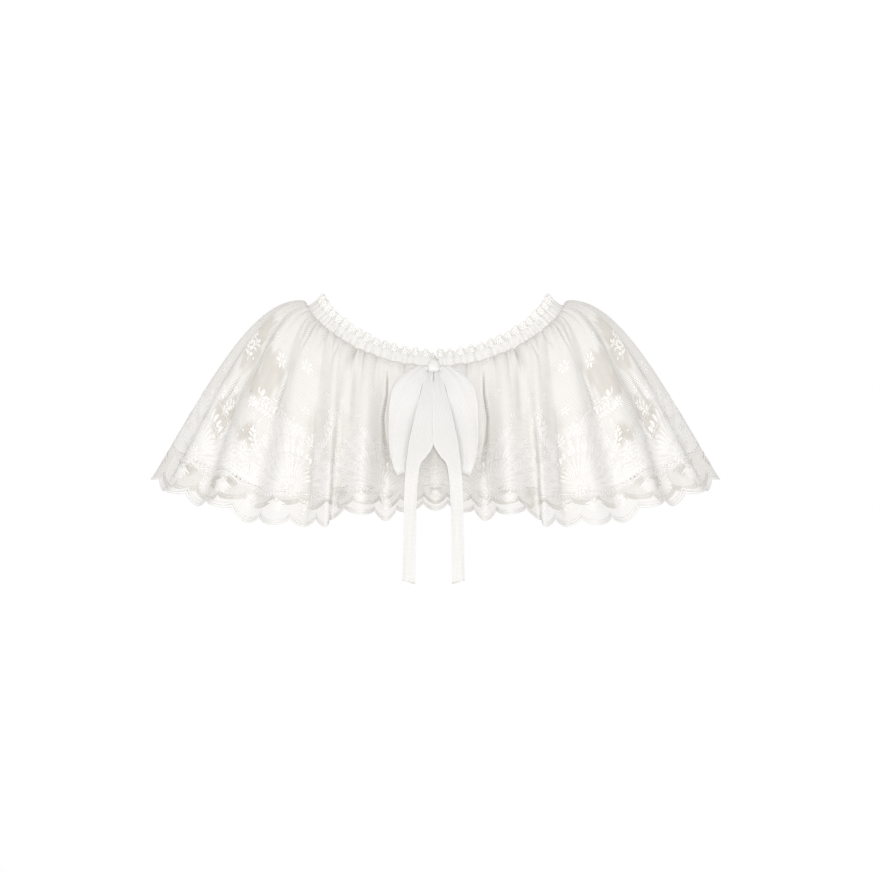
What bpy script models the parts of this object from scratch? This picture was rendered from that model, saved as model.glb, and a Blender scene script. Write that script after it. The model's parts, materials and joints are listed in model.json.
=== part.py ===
# Gathered lace capelet collar with a drawstring neck casing, a heading frill and a ribbon bow.
# Frame: +Z up, the front faces -Y, +X is the viewer's right seen from the front. The origin is
# the middle of the neck opening at the height where the casing rests on the shoulders.
# Lengths below are millimetres and angles degrees. Positions round the garment are counted in
# scallops of the hem: 0 at centre front, +-13 at the side seams, +-26 at centre back.

import math
from collections import namedtuple

import bpy
from mathutils import Matrix, Vector

MM = 0.001

# Cut of the lace flounce
SCALLOPS = 52
SIDE = SCALLOPS / 4
CENTRE_BACK = SCALLOPS / 2
SCALLOP_DEPTH = 8.0
CLOTH = 1.0
SEAM_GAP = 0.4

# Neck seam, an oval that dips at centre front and centre back
NECK_HALF_WIDTH = 129.0
NECK_FRONT_DEPTH = 90.0
NECK_BACK_DEPTH = 86.0
NECK_FRONT_DIP = 58.0
NECK_BACK_DIP = 60.0
NECK_DIP_SHAPE = 1.7

# Hem oval before folds
HEM_HALF_WIDTH = 276.0
HEM_FRONT_DEPTH = 157.0
HEM_BACK_DEPTH = 150.0

# One row for each scallop from the centre out to the side. Even rows are fold valleys and odd
# rows are ridges. neck and hem are angles from the centre, z is the hem's height, and out is
# how far the fold stands out (+) or in (-) at the hem.
Fold = namedtuple("Fold", "neck hem front_z back_z front_out back_out")
FOLDS = (
    Fold(0.0, 0.0, -187, -187, -12, -9),
    Fold(10.0, 5.0, -193, -189, 12, 10),
    Fold(20.0, 10.3, -195, -190, -19, -11),
    Fold(28.5, 14.6, -196, -192, 12, 9),
    Fold(36.5, 21.4, -195, -191, -12, -10),
    Fold(45.0, 21.6, -209, -194, 13, 11),
    Fold(53.0, 27.8, -202, -192, -9, -9),
    Fold(60.5, 33.8, -207, -193, 8, 8),
    Fold(67.0, 42.0, -199, -190, -7, -8),
    Fold(73.0, 49.5, -189, -187, 7, 8),
    Fold(78.0, 57.8, -184, -183, -7, -6),
    Fold(82.3, 67.3, -177, -177, 6, 6),
    Fold(86.3, 78.0, -171, -171, -5, -5),
    Fold(90.0, 90.0, -165, -165, 5, 5),
)

# Fall of the cloth from neck to hem: angle above level and reach of the curve as it leaves the
# neck, then angle below level and reach as it comes down to the hem
Fall = namedtuple("Fall", "leave leave_reach arrive arrive_reach")
FALL_CENTRE = Fall(-40.0, 42.0, 77.0, 55.0)
FALL_SIDE = Fall(24.0, 54.0, 59.0, 96.0)

# Small gathers under the casing
GATHERS_PER_FOLD = 3
GATHER_SHARE = 0.16
GATHER_END = 0.5
PUFF = 4.5
PUFF_DOWN = 0.08
SHOULDER_RISE = 4.5
SHOULDER_DOWN = 0.02

# Neck band: casing below, heading frill above, both leaning in over the shoulders
BAND_LEAN = 41.0
CASING_START = 0.9
CASING_WIDTH = 13.5
CASING_SECTION = ((0.0, 0.5), (3.4, 1.4), (6.8, 1.7), (10.2, 1.4), (13.5, 0.5))
CASING_STEP = 5.0
CASING_MOUTH = 3.0
FRILL_MOUTH = 1.5
FRILL_HEIGHT = 9.0
FRILL_WAVES = 64
FRILL_ROOT_WAVE = 0.5
FRILL_EDGE_WAVE = 2.4

# Ribbon bow, tied a little to the viewer's left of centre. The soft ribbon opens out in the
# loops and folds to half its width down the tails.
BOW_SIDE = -1.8
KNOT_SIZE = Vector((12.5, 11.0, 15.0))
KNOT_HEIGHT = -57.5
KNOT_LEAN = 38.0
KNOT_AHEAD = 4.4
RIBBON = 1.1
TAIL_CLOTH = 1.6
TAIL_SLANT = 4.0

# The left loop, down its front strand and back up behind, mirrored for the right one. side and
# z place the ribbon's middle, ahead is how far it lies before the lace, tilt turns its width.
Loop = namedtuple("Loop", "side z ahead width tilt")
LOOP = (
    Loop(-9.45, -59.5, 2.9, 8.0, -66.0),
    Loop(-14.5, -64.0, 5.8, 13.0, -52.0),
    Loop(-22.0, -72.5, 9.5, 19.0, -40.0),
    Loop(-27.6, -82.5, 11.0, 23.5, -24.0),
    Loop(-30.0, -95.0, 11.4, 24.5, -10.0),
    Loop(-31.4, -111.0, 11.0, 23.0, 0.0),
    Loop(-32.2, -129.0, 10.4, 21.5, 4.0),
    Loop(-31.6, -144.0, 9.6, 19.0, 7.0),
    Loop(-29.6, -156.0, 8.6, 16.0, 9.0),
    Loop(-27.6, -160.5, 6.2, 14.5, 9.0),
    Loop(-25.6, -157.0, 4.2, 15.5, 6.0),
    Loop(-22.0, -147.0, 3.6, 18.0, -4.0),
    Loop(-17.5, -133.0, 3.6, 19.0, -12.0),
    Loop(-13.5, -116.0, 3.6, 18.0, -13.0),
    Loop(-10.0, -98.0, 3.8, 15.0, -12.0),
    Loop(-7.4, -80.0, 3.4, 11.0, -10.0),
    Loop(-4.6, -68.0, 1.7, 7.0, -8.0),
)
LOOP_STEPS = 2

# The left tail from the knot down, mirrored for the right one
Tail = namedtuple("Tail", "side z ahead width tilt")
TAIL = (
    Tail(-3.4, -64.35, 2.0, 5.6, -8.0),
    Tail(-5.2, -74.0, 7.6, 9.0, -10.0),
    Tail(-6.8, -87.0, 12.0, 12.4, -10.0),
    Tail(-8.8, -102.0, 15.0, 16.2, -9.0),
    Tail(-10.8, -120.0, 15.6, 20.0, -8.0),
    Tail(-13.0, -133.0, 15.4, 21.6, -8.0),
    Tail(-16.6, -142.0, 15.2, 16.8, -7.0),
    Tail(-19.2, -150.0, 14.6, 12.9, -6.0),
    Tail(-20.7, -164.0, 13.0, 12.6, -4.0),
    Tail(-21.8, -181.0, 9.0, 12.3, -2.0),
    Tail(-22.5, -202.0, 4.0, 12.0, 0.0),
    Tail(-22.8, -223.0, 4.6, 12.0, 0.0),
    Tail(-23.1, -245.0, 4.2, 12.0, 0.0),
    Tail(-23.4, -265.0, 4.6, 12.0, 0.0),
)
TAIL_STEPS = 2

# Mesh fineness
COLUMNS_PER_SCALLOP = 6
CAPE_ROWS = (0.0, 0.045, 0.12, 0.22, 0.35, 0.5, 0.68, 0.86, 1.0)


def mix(a, b, share):
    return a + (b - a) * share


def curve_through(before, start, end, after, share):
    """A smooth value between start and end that also follows the values on either side."""
    rise, ease = (end - before) / 2, (after - start) / 2
    square, cube = share * share, share * share * share
    return (
        start * (2 * cube - 3 * square + 1)
        + rise * (cube - 2 * square + share)
        + end * (3 * square - 2 * cube)
        + ease * (cube - square)
    )


def fold_value(kind, index):
    """A fold table value at a whole scallop, counted from centre front round to centre back."""
    if index < 0:
        value = fold_value(kind, -index)
        return -value if kind in ("neck", "hem") else value
    if index > CENTRE_BACK:
        value = fold_value(kind, 2 * int(CENTRE_BACK) - index)
        return 360.0 - value if kind in ("neck", "hem") else value
    front = index <= SIDE
    row = FOLDS[index if front else int(CENTRE_BACK) - index]
    if kind in ("neck", "hem"):
        return getattr(row, kind) if front else 180.0 - getattr(row, kind)
    return getattr(row, ("front_" if front else "back_") + kind)


def fold_at(kind, place):
    """A fold table value anywhere on the right half, smooth from scallop to scallop."""
    index = min(int(place), int(CENTRE_BACK) - 1)
    near = [fold_value(kind, index + step) for step in (-1, 0, 1, 2)]
    return curve_through(*near, place - index)


def oval(degrees, half_width, front_depth, back_depth):
    """Point and level outward direction on an oval, by angle from centre front."""
    turn = math.radians(degrees)
    depth = front_depth if math.cos(turn) > 0 else back_depth
    point = Vector((half_width * math.sin(turn), -depth * math.cos(turn), 0.0))
    outward = Vector((math.sin(turn) / half_width, -math.cos(turn) / depth, 0.0))
    return point, outward.normalized()


def neck(degrees):
    """Point on the neck seam and its level outward direction."""
    point, outward = oval(degrees, NECK_HALF_WIDTH, NECK_FRONT_DEPTH, NECK_BACK_DEPTH)
    lean = math.cos(math.radians(degrees))
    point.z = -(NECK_FRONT_DIP if lean > 0 else NECK_BACK_DIP) * abs(lean) ** NECK_DIP_SHAPE
    return point, outward


def falling(place):
    """The four control points of the cloth's fall from neck to hem, on the right half."""
    neck_turn, hem_turn = fold_at("neck", place), fold_at("hem", place)
    top, _ = neck(neck_turn)
    hem, _ = oval(hem_turn, HEM_HALF_WIDTH, HEM_FRONT_DEPTH, HEM_BACK_DEPTH)
    hem.z = fold_at("z", place)
    away = Vector((hem.x - top.x, hem.y - top.y, 0.0)).normalized()
    side_share = math.sin(math.radians((neck_turn + hem_turn) / 2)) ** 2
    fall = Fall(*(mix(a, b, side_share) for a, b in zip(FALL_CENTRE, FALL_SIDE)))
    leave, arrive = math.radians(fall.leave), math.radians(fall.arrive)
    up = Vector((0.0, 0.0, 1.0))
    first = top + (away * math.cos(leave) + up * math.sin(leave)) * fall.leave_reach
    last = hem - (away * math.cos(arrive) - up * math.sin(arrive)) * fall.arrive_reach
    return top, first, last, hem


def gather_height(place, down):
    """Height of the small gathers, which are as tall as their spacing at the neck allows."""
    step = 0.25
    a, _ = neck(fold_at("neck", max(place - step, 0.0)))
    b, _ = neck(fold_at("neck", min(place + step, CENTRE_BACK)))
    spacing = (b - a).length / (2 * step) * 2 / GATHERS_PER_FOLD
    fade = max(0.0, 1.0 - down / GATHER_END) ** 1.5
    swell = 0.25 + 0.75 * min(1.0, down / CAPE_ROWS[1])
    uneven = 0.8 + 0.3 * math.sin(2.3 * place)
    return -math.cos(math.pi * GATHERS_PER_FOLD * place) * GATHER_SHARE * spacing * fade * swell * uneven


def lace(place, down):
    """Point in the middle of the lace, down from 0 at the neck seam to 1 at the hem."""
    half = abs(place) if abs(place) <= CENTRE_BACK else SCALLOPS - abs(place)
    top, first, last, hem = falling(half)
    up = 1.0 - down
    point = top * up**3 + first * 3 * up * up * down + last * 3 * up * down * down + hem * down**3
    along = (first - top) * up * up + (last - first) * 2 * up * down + (hem - last) * down * down
    along.normalize()
    turn = mix(fold_at("neck", half), fold_at("hem", half), down)
    _, outward = oval(
        turn,
        mix(NECK_HALF_WIDTH, HEM_HALF_WIDTH, down),
        mix(NECK_FRONT_DEPTH, HEM_FRONT_DEPTH, down),
        mix(NECK_BACK_DEPTH, HEM_BACK_DEPTH, down),
    )
    out = (Vector((0.0, 0.0, along.dot(outward))) - outward * along.z).normalized()
    growth = 1.5 * down / (1.0 + 0.5 * down)
    puff = PUFF * down / PUFF_DOWN * math.exp(1.0 - down / PUFF_DOWN)
    near = down / SHOULDER_DOWN
    shoulder = SHOULDER_RISE * abs(math.sin(math.radians(turn))) ** 6 * (near * math.exp(1.0 - near)) ** 0.8
    point += out * (fold_at("out", half) * growth + gather_height(half, down) + puff + shoulder)
    if down == 1.0:
        point += along * SCALLOP_DEPTH * abs(math.cos(math.pi * half)) ** 0.65
    if place < 0 or place > CENTRE_BACK:
        point.x = -point.x
    return point


def front_of_lace(z):
    """How far forward the lace's first ridge stands at a height, for the bow that lies on it."""
    above, below = 0.0, 1.0
    if z < lace(1.0, 0.99).z:
        return -lace(1.0, 0.99).y
    for _ in range(30):
        middle = (above + below) / 2
        if lace(1.0, middle * 0.99).z > z:
            above = middle
        else:
            below = middle
    return -lace(1.0, above * 0.99).y


def material(name, colour, roughness):
    made = bpy.data.materials.new(name)
    made.use_nodes = True
    shader = made.node_tree.nodes["Principled BSDF"]
    shader.inputs["Base Color"].default_value = (*colour, 1.0)
    shader.inputs["Roughness"].default_value = roughness
    shader.inputs["Metallic"].default_value = 0.0
    return made


def add_mesh(name, points, faces, finish):
    mesh = bpy.data.meshes.new(name)
    mesh.from_pydata([point * MM for point in points], [], faces)
    mesh.validate()
    mesh.shade_smooth()
    mesh.set_sharp_from_angle(angle=math.radians(50))
    mesh.materials.append(finish)
    made = bpy.data.objects.new(name, mesh)
    bpy.context.scene.collection.objects.link(made)
    return made


def grid_normals(grid):
    """Unit normals of a grid of points, column by row, from its own neighbours."""
    columns, rows = len(grid), len(grid[0])
    normals = []
    for i in range(columns):
        across = [grid[min(i + 1, columns - 1)][j] - grid[max(i - 1, 0)][j] for j in range(rows)]
        along = [grid[i][min(j + 1, rows - 1)] - grid[i][max(j - 1, 0)] for j in range(rows)]
        normals.append([along[j].cross(across[j]).normalized() for j in range(rows)])
    return normals


def add_wall(name, grid, thickness, finish):
    """A closed wall round an open grid of points. Its outer face is along down x across."""
    columns, rows = len(grid), len(grid[0])
    normals = grid_normals(grid)
    points = []
    for side in (0.5, -0.5):
        for i in range(columns):
            points += [grid[i][j] + normals[i][j] * thickness * side for j in range(rows)]
    inner = columns * rows
    faces = []
    for i in range(columns - 1):
        for j in range(rows - 1):
            a, b = i * rows + j, (i + 1) * rows + j
            faces.append((a, a + 1, b + 1, b))
            faces.append((inner + a, inner + b, inner + b + 1, inner + a + 1))
    for i in range(columns - 1):
        for j, turned in ((0, False), (rows - 1, True)):
            a, b = i * rows + j, (i + 1) * rows + j
            rim = (a, b, inner + b, inner + a)
            faces.append(rim[::-1] if turned else rim)
    for j in range(rows - 1):
        for i, turned in ((0, True), (columns - 1, False)):
            a = i * rows + j
            rim = (a, a + 1, inner + a + 1, inner + a)
            faces.append(rim if not turned else rim[::-1])
    return add_mesh(name, points, faces, finish)


def pull_in(grid, distance):
    """Draws the first and last columns of a grid towards its middle, to leave a seam's gap."""
    for edge, inside in ((0, 1), (-1, -2)):
        for j, point in enumerate(grid[edge]):
            grid[edge][j] = point + (grid[inside][j] - point).normalized() * distance


def add_cape(name, start, end, finish):
    steps = int((end - start) * COLUMNS_PER_SCALLOP)
    places = [start + step / COLUMNS_PER_SCALLOP for step in range(steps + 1)]
    grid = [[lace(place, down) for down in CAPE_ROWS] for place in places]
    pull_in(grid, SEAM_GAP / 2)
    add_wall(name, grid, CLOTH, finish)


def band_frame(degrees):
    """Seam point, the way up the band, and the way out of it."""
    seam, outward = neck(degrees)
    lean = math.radians(BAND_LEAN)
    rise = Vector((0.0, 0.0, 1.0))
    up_band = -outward * math.cos(lean) + rise * math.sin(lean)
    out_band = outward * math.sin(lean) + rise * math.cos(lean)
    return seam, up_band, out_band


def mouth_angle(half_gap):
    return math.degrees(math.asin(half_gap / NECK_HALF_WIDTH))


def add_casing(finish):
    """Flat tube round the neck with its mouth open at centre front, where the ribbon leaves."""
    section = [(along, thick) for along, thick in CASING_SECTION]
    section += [(along, -thick) for along, thick in reversed(CASING_SECTION)]
    mouth = mouth_angle(CASING_MOUTH)
    steps = round((360.0 - 2 * mouth) / CASING_STEP)
    points = []
    for step in range(steps + 1):
        seam, up_band, out_band = band_frame(mix(mouth, 360.0 - mouth, step / steps))
        points += [seam + up_band * (CASING_START + along) + out_band * thick for along, thick in section]
    count = len(section)
    faces = []
    for step in range(steps):
        for k in range(count):
            a, b = step * count + k, step * count + (k + 1) % count
            faces.append((a, a + count, b + count, b))
    faces.append(tuple(range(count)))
    faces.append(tuple(steps * count + k for k in reversed(range(count))))
    add_mesh("neck_casing", points, faces, finish)


def add_frill(finish):
    """Gathered heading that stands above the casing."""
    mouth = mouth_angle(FRILL_MOUTH)
    ring = [mix(mouth, 360.0 - mouth, step / 720) for step in range(721)]
    lengths = [0.0]
    for a, b in zip(ring, ring[1:]):
        lengths.append(lengths[-1] + (neck(b)[0] - neck(a)[0]).length)
    columns = FRILL_WAVES * 4
    root = CASING_START + CASING_WIDTH + SEAM_GAP
    grid, near = [], 0
    for column in range(columns + 1):
        goal = lengths[-1] * column / columns
        while near < len(ring) - 2 and lengths[near + 1] < goal:
            near += 1
        share = (goal - lengths[near]) / (lengths[near + 1] - lengths[near])
        seam, up_band, out_band = band_frame(mix(ring[near], ring[near + 1], share))
        wave = math.sin(math.pi / 2 * column)
        low = seam + up_band * root + out_band * wave * FRILL_ROOT_WAVE
        high = seam + up_band * (root + FRILL_HEIGHT) + out_band * wave * FRILL_EDGE_WAVE
        grid.append([high, low])
    add_wall("neck_frill", grid, CLOTH, finish)


def spread_rows(rows, steps):
    """Rows of a ribbon table with smooth rows added between them."""
    kind = type(rows[0])
    made = []
    for i in range(len(rows) - 1):
        near = [rows[max(i - 1, 0)], rows[i], rows[i + 1], rows[min(i + 2, len(rows) - 1)]]
        for step in range(steps):
            made.append(kind(*(curve_through(*values, step / steps) for values in zip(*near))))
    made.append(rows[-1])
    return made


def ribbon_grid(rows, columns, crown):
    """Points across and along a ribbon that lies before the lace."""
    centres = [
        Vector((BOW_SIDE + row.side, -front_of_lace(row.z) - row.ahead, row.z)) for row in rows
    ]
    lines = []
    for i, row in enumerate(rows):
        along = (centres[min(i + 1, len(rows) - 1)] - centres[max(i - 1, 0)]).normalized()
        tilt = math.radians(row.tilt)
        slope = (front_of_lace(row.z - 4.0) - front_of_lace(row.z + 4.0)) / 8.0
        across = Vector((math.cos(tilt), slope * math.sin(tilt), math.sin(tilt)))
        across = (across - along * across.dot(along)).normalized()
        out = along.cross(across)
        line = []
        for column in range(columns + 1):
            share = 2.0 * column / columns - 1.0
            lift = crown * (1.0 - share * share)
            line.append(centres[i] + across * row.width / 2 * share + out * lift)
        lines.append(line)
    return [[line[column] for line in lines] for column in range(columns + 1)]


def mirrored(grid):
    """The same grid across the bow, with its columns turned round to keep it facing out."""
    return [[Vector((2 * BOW_SIDE - p.x, p.y, p.z)) for p in column] for column in reversed(grid)]


def add_bow(finish):
    loop = ribbon_grid(spread_rows(LOOP, LOOP_STEPS), 4, 1.6)
    add_wall("bow_loop_left", loop, RIBBON, finish)
    add_wall("bow_loop_right", mirrored(loop), RIBBON, finish)
    tail = ribbon_grid(spread_rows(TAIL, TAIL_STEPS), 2, 0.7)
    for column, share in ((0, 0.0), (1, 0.5), (2, 1.0)):
        tail[column][-1].z += TAIL_SLANT * (0.5 - share)
    add_wall("bow_tail_left", tail, TAIL_CLOTH, finish)
    add_wall("bow_tail_right", mirrored(tail), TAIL_CLOTH, finish)
    add_knot(finish)


def add_knot(finish):
    """Soft barrel of ribbon pinched at the middle of the bow."""
    middle = Vector((BOW_SIDE, -front_of_lace(KNOT_HEIGHT) - KNOT_AHEAD, KNOT_HEIGHT))
    rings, sides = 7, 12
    points = [Vector((0.0, 0.0, KNOT_SIZE.z / 2))]
    for ring in range(1, rings):
        lift = math.cos(math.pi * ring / rings)
        reach = math.sin(math.pi * ring / rings) ** 0.45
        for side in range(sides):
            turn = 2 * math.pi * side / sides
            points.append(
                Vector(
                    (
                        KNOT_SIZE.x / 2 * reach * math.cos(turn),
                        KNOT_SIZE.y / 2 * reach * math.sin(turn),
                        KNOT_SIZE.z / 2 * lift,
                    )
                )
            )
    points.append(Vector((0.0, 0.0, -KNOT_SIZE.z / 2)))
    faces = []
    for side in range(sides):
        after = (side + 1) % sides
        faces.append((0, 1 + side, 1 + after))
        last = 1 + (rings - 2) * sides
        faces.append((len(points) - 1, last + after, last + side))
        for ring in range(rings - 2):
            a, b = 1 + ring * sides, 1 + (ring + 1) * sides
            faces.append((a + side, b + side, b + after, a + after))
    lean = Matrix.Rotation(math.radians(-KNOT_LEAN), 3, "X")
    add_mesh("bow_knot", [lean @ point + middle for point in points], faces, finish)


def main():
    for old in list(bpy.data.objects):
        bpy.data.objects.remove(old)
    net = material("lace_net", (0.90, 0.89, 0.86), 0.8)
    casing = material("casing_net", (0.92, 0.91, 0.89), 0.75)
    ribbon = material("organza_ribbon", (0.93, 0.92, 0.91), 0.55)
    add_cape("cape_front", -SIDE, SIDE, net)
    add_cape("cape_back", SIDE, SCALLOPS - SIDE, net)
    add_casing(casing)
    add_frill(net)
    add_bow(ribbon)


main()
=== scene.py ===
# Gathered lace collar with a ribbon bow: its looks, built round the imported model.
# Lengths in the tables are millimetres. A place on the lace is counted in scallops of the hem,
# 0 at centre front, 13 at the sides and 26 at centre back. Down runs from 0 at the neck to 1.

import json
import math
import random
import bpy
import numpy as np
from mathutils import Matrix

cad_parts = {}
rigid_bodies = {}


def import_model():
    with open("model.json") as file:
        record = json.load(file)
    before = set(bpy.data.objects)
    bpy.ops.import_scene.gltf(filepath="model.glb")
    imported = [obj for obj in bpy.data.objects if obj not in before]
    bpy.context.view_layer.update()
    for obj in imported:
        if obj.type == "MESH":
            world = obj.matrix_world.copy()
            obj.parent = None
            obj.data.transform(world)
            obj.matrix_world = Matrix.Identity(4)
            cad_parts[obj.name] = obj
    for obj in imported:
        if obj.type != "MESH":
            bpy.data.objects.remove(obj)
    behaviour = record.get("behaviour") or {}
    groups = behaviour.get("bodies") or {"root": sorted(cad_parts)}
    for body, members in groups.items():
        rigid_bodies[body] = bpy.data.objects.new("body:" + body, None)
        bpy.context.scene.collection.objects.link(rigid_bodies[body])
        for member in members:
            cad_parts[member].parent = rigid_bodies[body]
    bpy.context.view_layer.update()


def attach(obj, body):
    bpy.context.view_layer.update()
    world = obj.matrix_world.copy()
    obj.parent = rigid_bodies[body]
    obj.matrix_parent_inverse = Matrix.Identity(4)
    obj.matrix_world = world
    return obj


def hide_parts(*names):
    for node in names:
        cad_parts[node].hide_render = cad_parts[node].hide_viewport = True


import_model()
mm = 0.001
body = "root"


# Shared tools

def linearColour(code):
    values = [int(code[i:i + 2], 16) / 255 for i in (1, 3, 5)]
    return (*[v / 12.92 if v <= 0.04045 else ((v + 0.055) / 1.055) ** 2.4 for v in values], 1.0)


def feed(tree, socket, value):    # value is a node, one of its outputs or a constant
    if isinstance(value, bpy.types.Node):
        value = value.outputs[0]
    if isinstance(value, bpy.types.NodeSocket):
        tree.links.new(value, socket)
    else:
        socket.default_value = value


def addNode(tree, kind, values=(), **settings):    # values go to the inputs, by name or in their order
    node = tree.nodes.new(kind)
    for name, value in settings.items():
        setattr(node, name, value)
    for name, value in values.items() if isinstance(values, dict) else enumerate(values):
        feed(tree, node.inputs[name], value)
    return node


def mix(a, b, share):
    return a + (b - a) * share


def smooth(value, low, high):    # 0 below low, 1 above high, eased between
    share = np.clip((value - low) / (high - low), 0.0, 1.0)
    return share * share * (3 - 2 * share)


def curveThrough(before, start, end, after, share):    # goes from start to end and heeds both sides
    rise, ease = (end - before) / 2, (after - start) / 2
    square, cube = share**2, share**3
    return (start * (2 * cube - 3 * square + 1) + rise * (cube - 2 * square + share)
            + end * (3 * square - 2 * cube) + ease * (cube - square))


def spreadRows(rows, steps):    # table rows with smooth rows added between them
    rows = np.array(rows, float)
    made = []
    for i in range(len(rows) - 1):
        near = rows[max(i - 1, 0)], rows[i], rows[i + 1], rows[min(i + 2, len(rows) - 1)]
        made += [curveThrough(*near, step / steps) for step in range(steps)]
    return np.array(made + [rows[-1]])


def unit(vectors):
    return vectors / np.maximum(np.linalg.norm(vectors, axis=-1, keepdims=True), 1e-12)


def runAlong(points):    # distance from the first point to each of the others
    return np.concatenate([[0], np.cumsum(np.linalg.norm(np.diff(points, axis=0), axis=1))])


def spread(first, second):    # pairs for a whole grid, from a value for each column and each row
    return np.stack(np.broadcast_arrays(first, second), axis=-1)


def gridNormals(grid):    # grid is columns by rows of points, columns run to the right
    return unit(np.cross(np.gradient(grid, axis=1), np.gradient(grid, axis=0)))


def gridFaces(columns, rows, closed=False):
    i, j = np.meshgrid(np.arange(columns if closed else columns - 1), np.arange(rows - 1), indexing="ij")
    a = (i * rows + j).ravel()
    b = ((i + 1) % columns * rows + j).ravel()
    return np.stack([a, a + 1, b + 1, b], axis=1)


def showObject(name, data):
    made = bpy.data.objects.new(name, data)
    bpy.context.scene.collection.objects.link(made)
    return made


def makePiece(name, points, faces, material=None, uvs=None, facts=None, edges=()):
    mesh = bpy.data.meshes.new(name)
    mesh.from_pydata((np.asarray(points) * mm).tolist(), edges, [list(map(int, face)) for face in faces])
    if uvs is not None:    # one pair for each point, or one for each corner
        layer = mesh.uv_layers.new(name="cloth")
        corners = np.empty(len(mesh.loops), np.int32)
        mesh.loops.foreach_get("vertex_index", corners)
        uvs = np.asarray(uvs)
        pairs = uvs if len(uvs) == len(corners) and len(uvs) != len(mesh.vertices) else uvs[corners]
        layer.data.foreach_set("uv", (pairs * mm).astype(np.float32).ravel())
    for label, values in (facts or {}).items():
        values = np.asarray(values, np.float32)
        kind = "FLOAT_VECTOR" if values.ndim == 2 else "FLOAT"
        made = mesh.attributes.new(label, kind, "POINT")
        made.data.foreach_set("vector" if values.ndim == 2 else "value", values.ravel())
    mesh.shade_smooth()
    if material:
        mesh.materials.append(material)
    return showObject(name, mesh)


def wallPiece(name, grid, thickness, material, uv, facts=None):    # a closed wall round a grid
    columns, rows = grid.shape[:2]
    half = gridNormals(grid) * thickness / 2
    points = np.concatenate([(grid + half).reshape(-1, 3), (grid - half).reshape(-1, 3)])
    count = columns * rows
    face = gridFaces(columns, rows)
    faces = [*face, *(face[:, ::-1] + count)]
    for i in range(columns - 1):
        for j, turned in ((0, False), (rows - 1, True)):
            a, b = i * rows + j, (i + 1) * rows + j
            rim = (a, b, count + b, count + a)
            faces.append(rim[::-1] if turned else rim)
    for j in range(rows - 1):
        for i, turned in ((0, True), (columns - 1, False)):
            a = i * rows + j
            rim = (a, a + 1, count + a + 1, count + a)
            faces.append(rim if not turned else rim[::-1])
    pairs = np.concatenate([uv.reshape(-1, 2)] * 2)
    both = {label: np.tile(np.ravel(values), 2) for label, values in (facts or {}).items()}
    return makePiece(name, points, faces, material, pairs, both)


# Fibres and finishes

def newFinish(name, look):    # a material with its plain numbers set, its node tree and its shader
    made = bpy.data.materials.new(name)
    made.use_nodes = True
    shader = made.node_tree.nodes["Principled BSDF"]
    for label, value in look["shader"].items():
        shader.inputs[label].default_value = value
    return made, made.node_tree, shader


def readCloth(tree, *labels):    # the place on the cut and the named facts that the cloth carries
    facts = [addNode(tree, "ShaderNodeAttribute", attribute_name=label) for label in labels]
    return addNode(tree, "ShaderNodeUVMap", uv_map="cloth"), *[fact.outputs["Fac"] for fact in facts]


def wavesOver(tree, place, spacing, directions):    # even ripples along each direction, added up
    total = 0.0
    for x, y in directions:
        along = addNode(tree, "ShaderNodeVectorMath", (place, (x, y, 0.0)), operation="DOT_PRODUCT")
        around = 2 * math.pi / (spacing * mm)
        turns = addNode(tree, "ShaderNodeMath", (along.outputs["Value"], around), operation="MULTIPLY")
        wave = addNode(tree, "ShaderNodeMath", (turns,), operation="COSINE")
        total = addNode(tree, "ShaderNodeMath", (total, wave), operation="ADD")
    return total


def colourAndRaise(tree, shader, look, height, *layers):    # lays colours over the shade, adds the relief
    tint = linearColour(look["shade"])
    for share, label in layers:
        settings = {0: share, 6: tint, 7: linearColour(look[label])}
        tint = addNode(tree, "ShaderNodeMix", settings, data_type="RGBA").outputs[2]
    feed(tree, shader.inputs["Base Color"], tint)
    strength, depth, sunk = look["relief"]
    settings = {"Strength": strength, "Distance": depth * mm, "Height": height}
    relief = addNode(tree, "ShaderNodeBump", settings, invert=sunk)
    feed(tree, shader.inputs["Normal"], relief)


netLook = {
    "colour": "#E6E4E0",    # undyed cotton bobbin net, warm white and matt, a little duller than the sewing
    "shade": "#E6E3DF",
    "darned": "#E9E7E5",    # where the needle has filled the ground of the border
    "paintedOpenNetShade": "#D1CBC2",     # warm painted shade of the inside, seen through open net
    "fold": "#A6A197",      # painted shade at the bottom of the creases and in the gather valleys
    "mesh": 1.9,            # cell across, drawn about twice as coarse as a real 1 mm net so that it shows
    "thread": 0.86,         # how much a thread covers
    "hole": 0.5,            # how much a cell covers, with the finer threads that aren't drawn
    "filled": 0.86,         # how much a cell covers where the needle has darned it
    "openThread": 0.432,    # how much a thread covers in the open crescents of the scallops
    "openHole": 0.144,      # how much a cell covers there
    "speckle": 420.0,       # uneven threads, over about 2.4 mm
    "cloud": 18.0,          # paler and darker washes, over about 55 mm
    "eyelet": 4.25,         # spacing of the eyelets that part the border from the scallops
    "eyeletLine": -213.5,
    "eyeletHeight": 1.5,
    "relief": (0.35, 0.3, True),
    "shader": {"Roughness": 0.9, "Specular IOR Level": 0.2},
}


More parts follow.
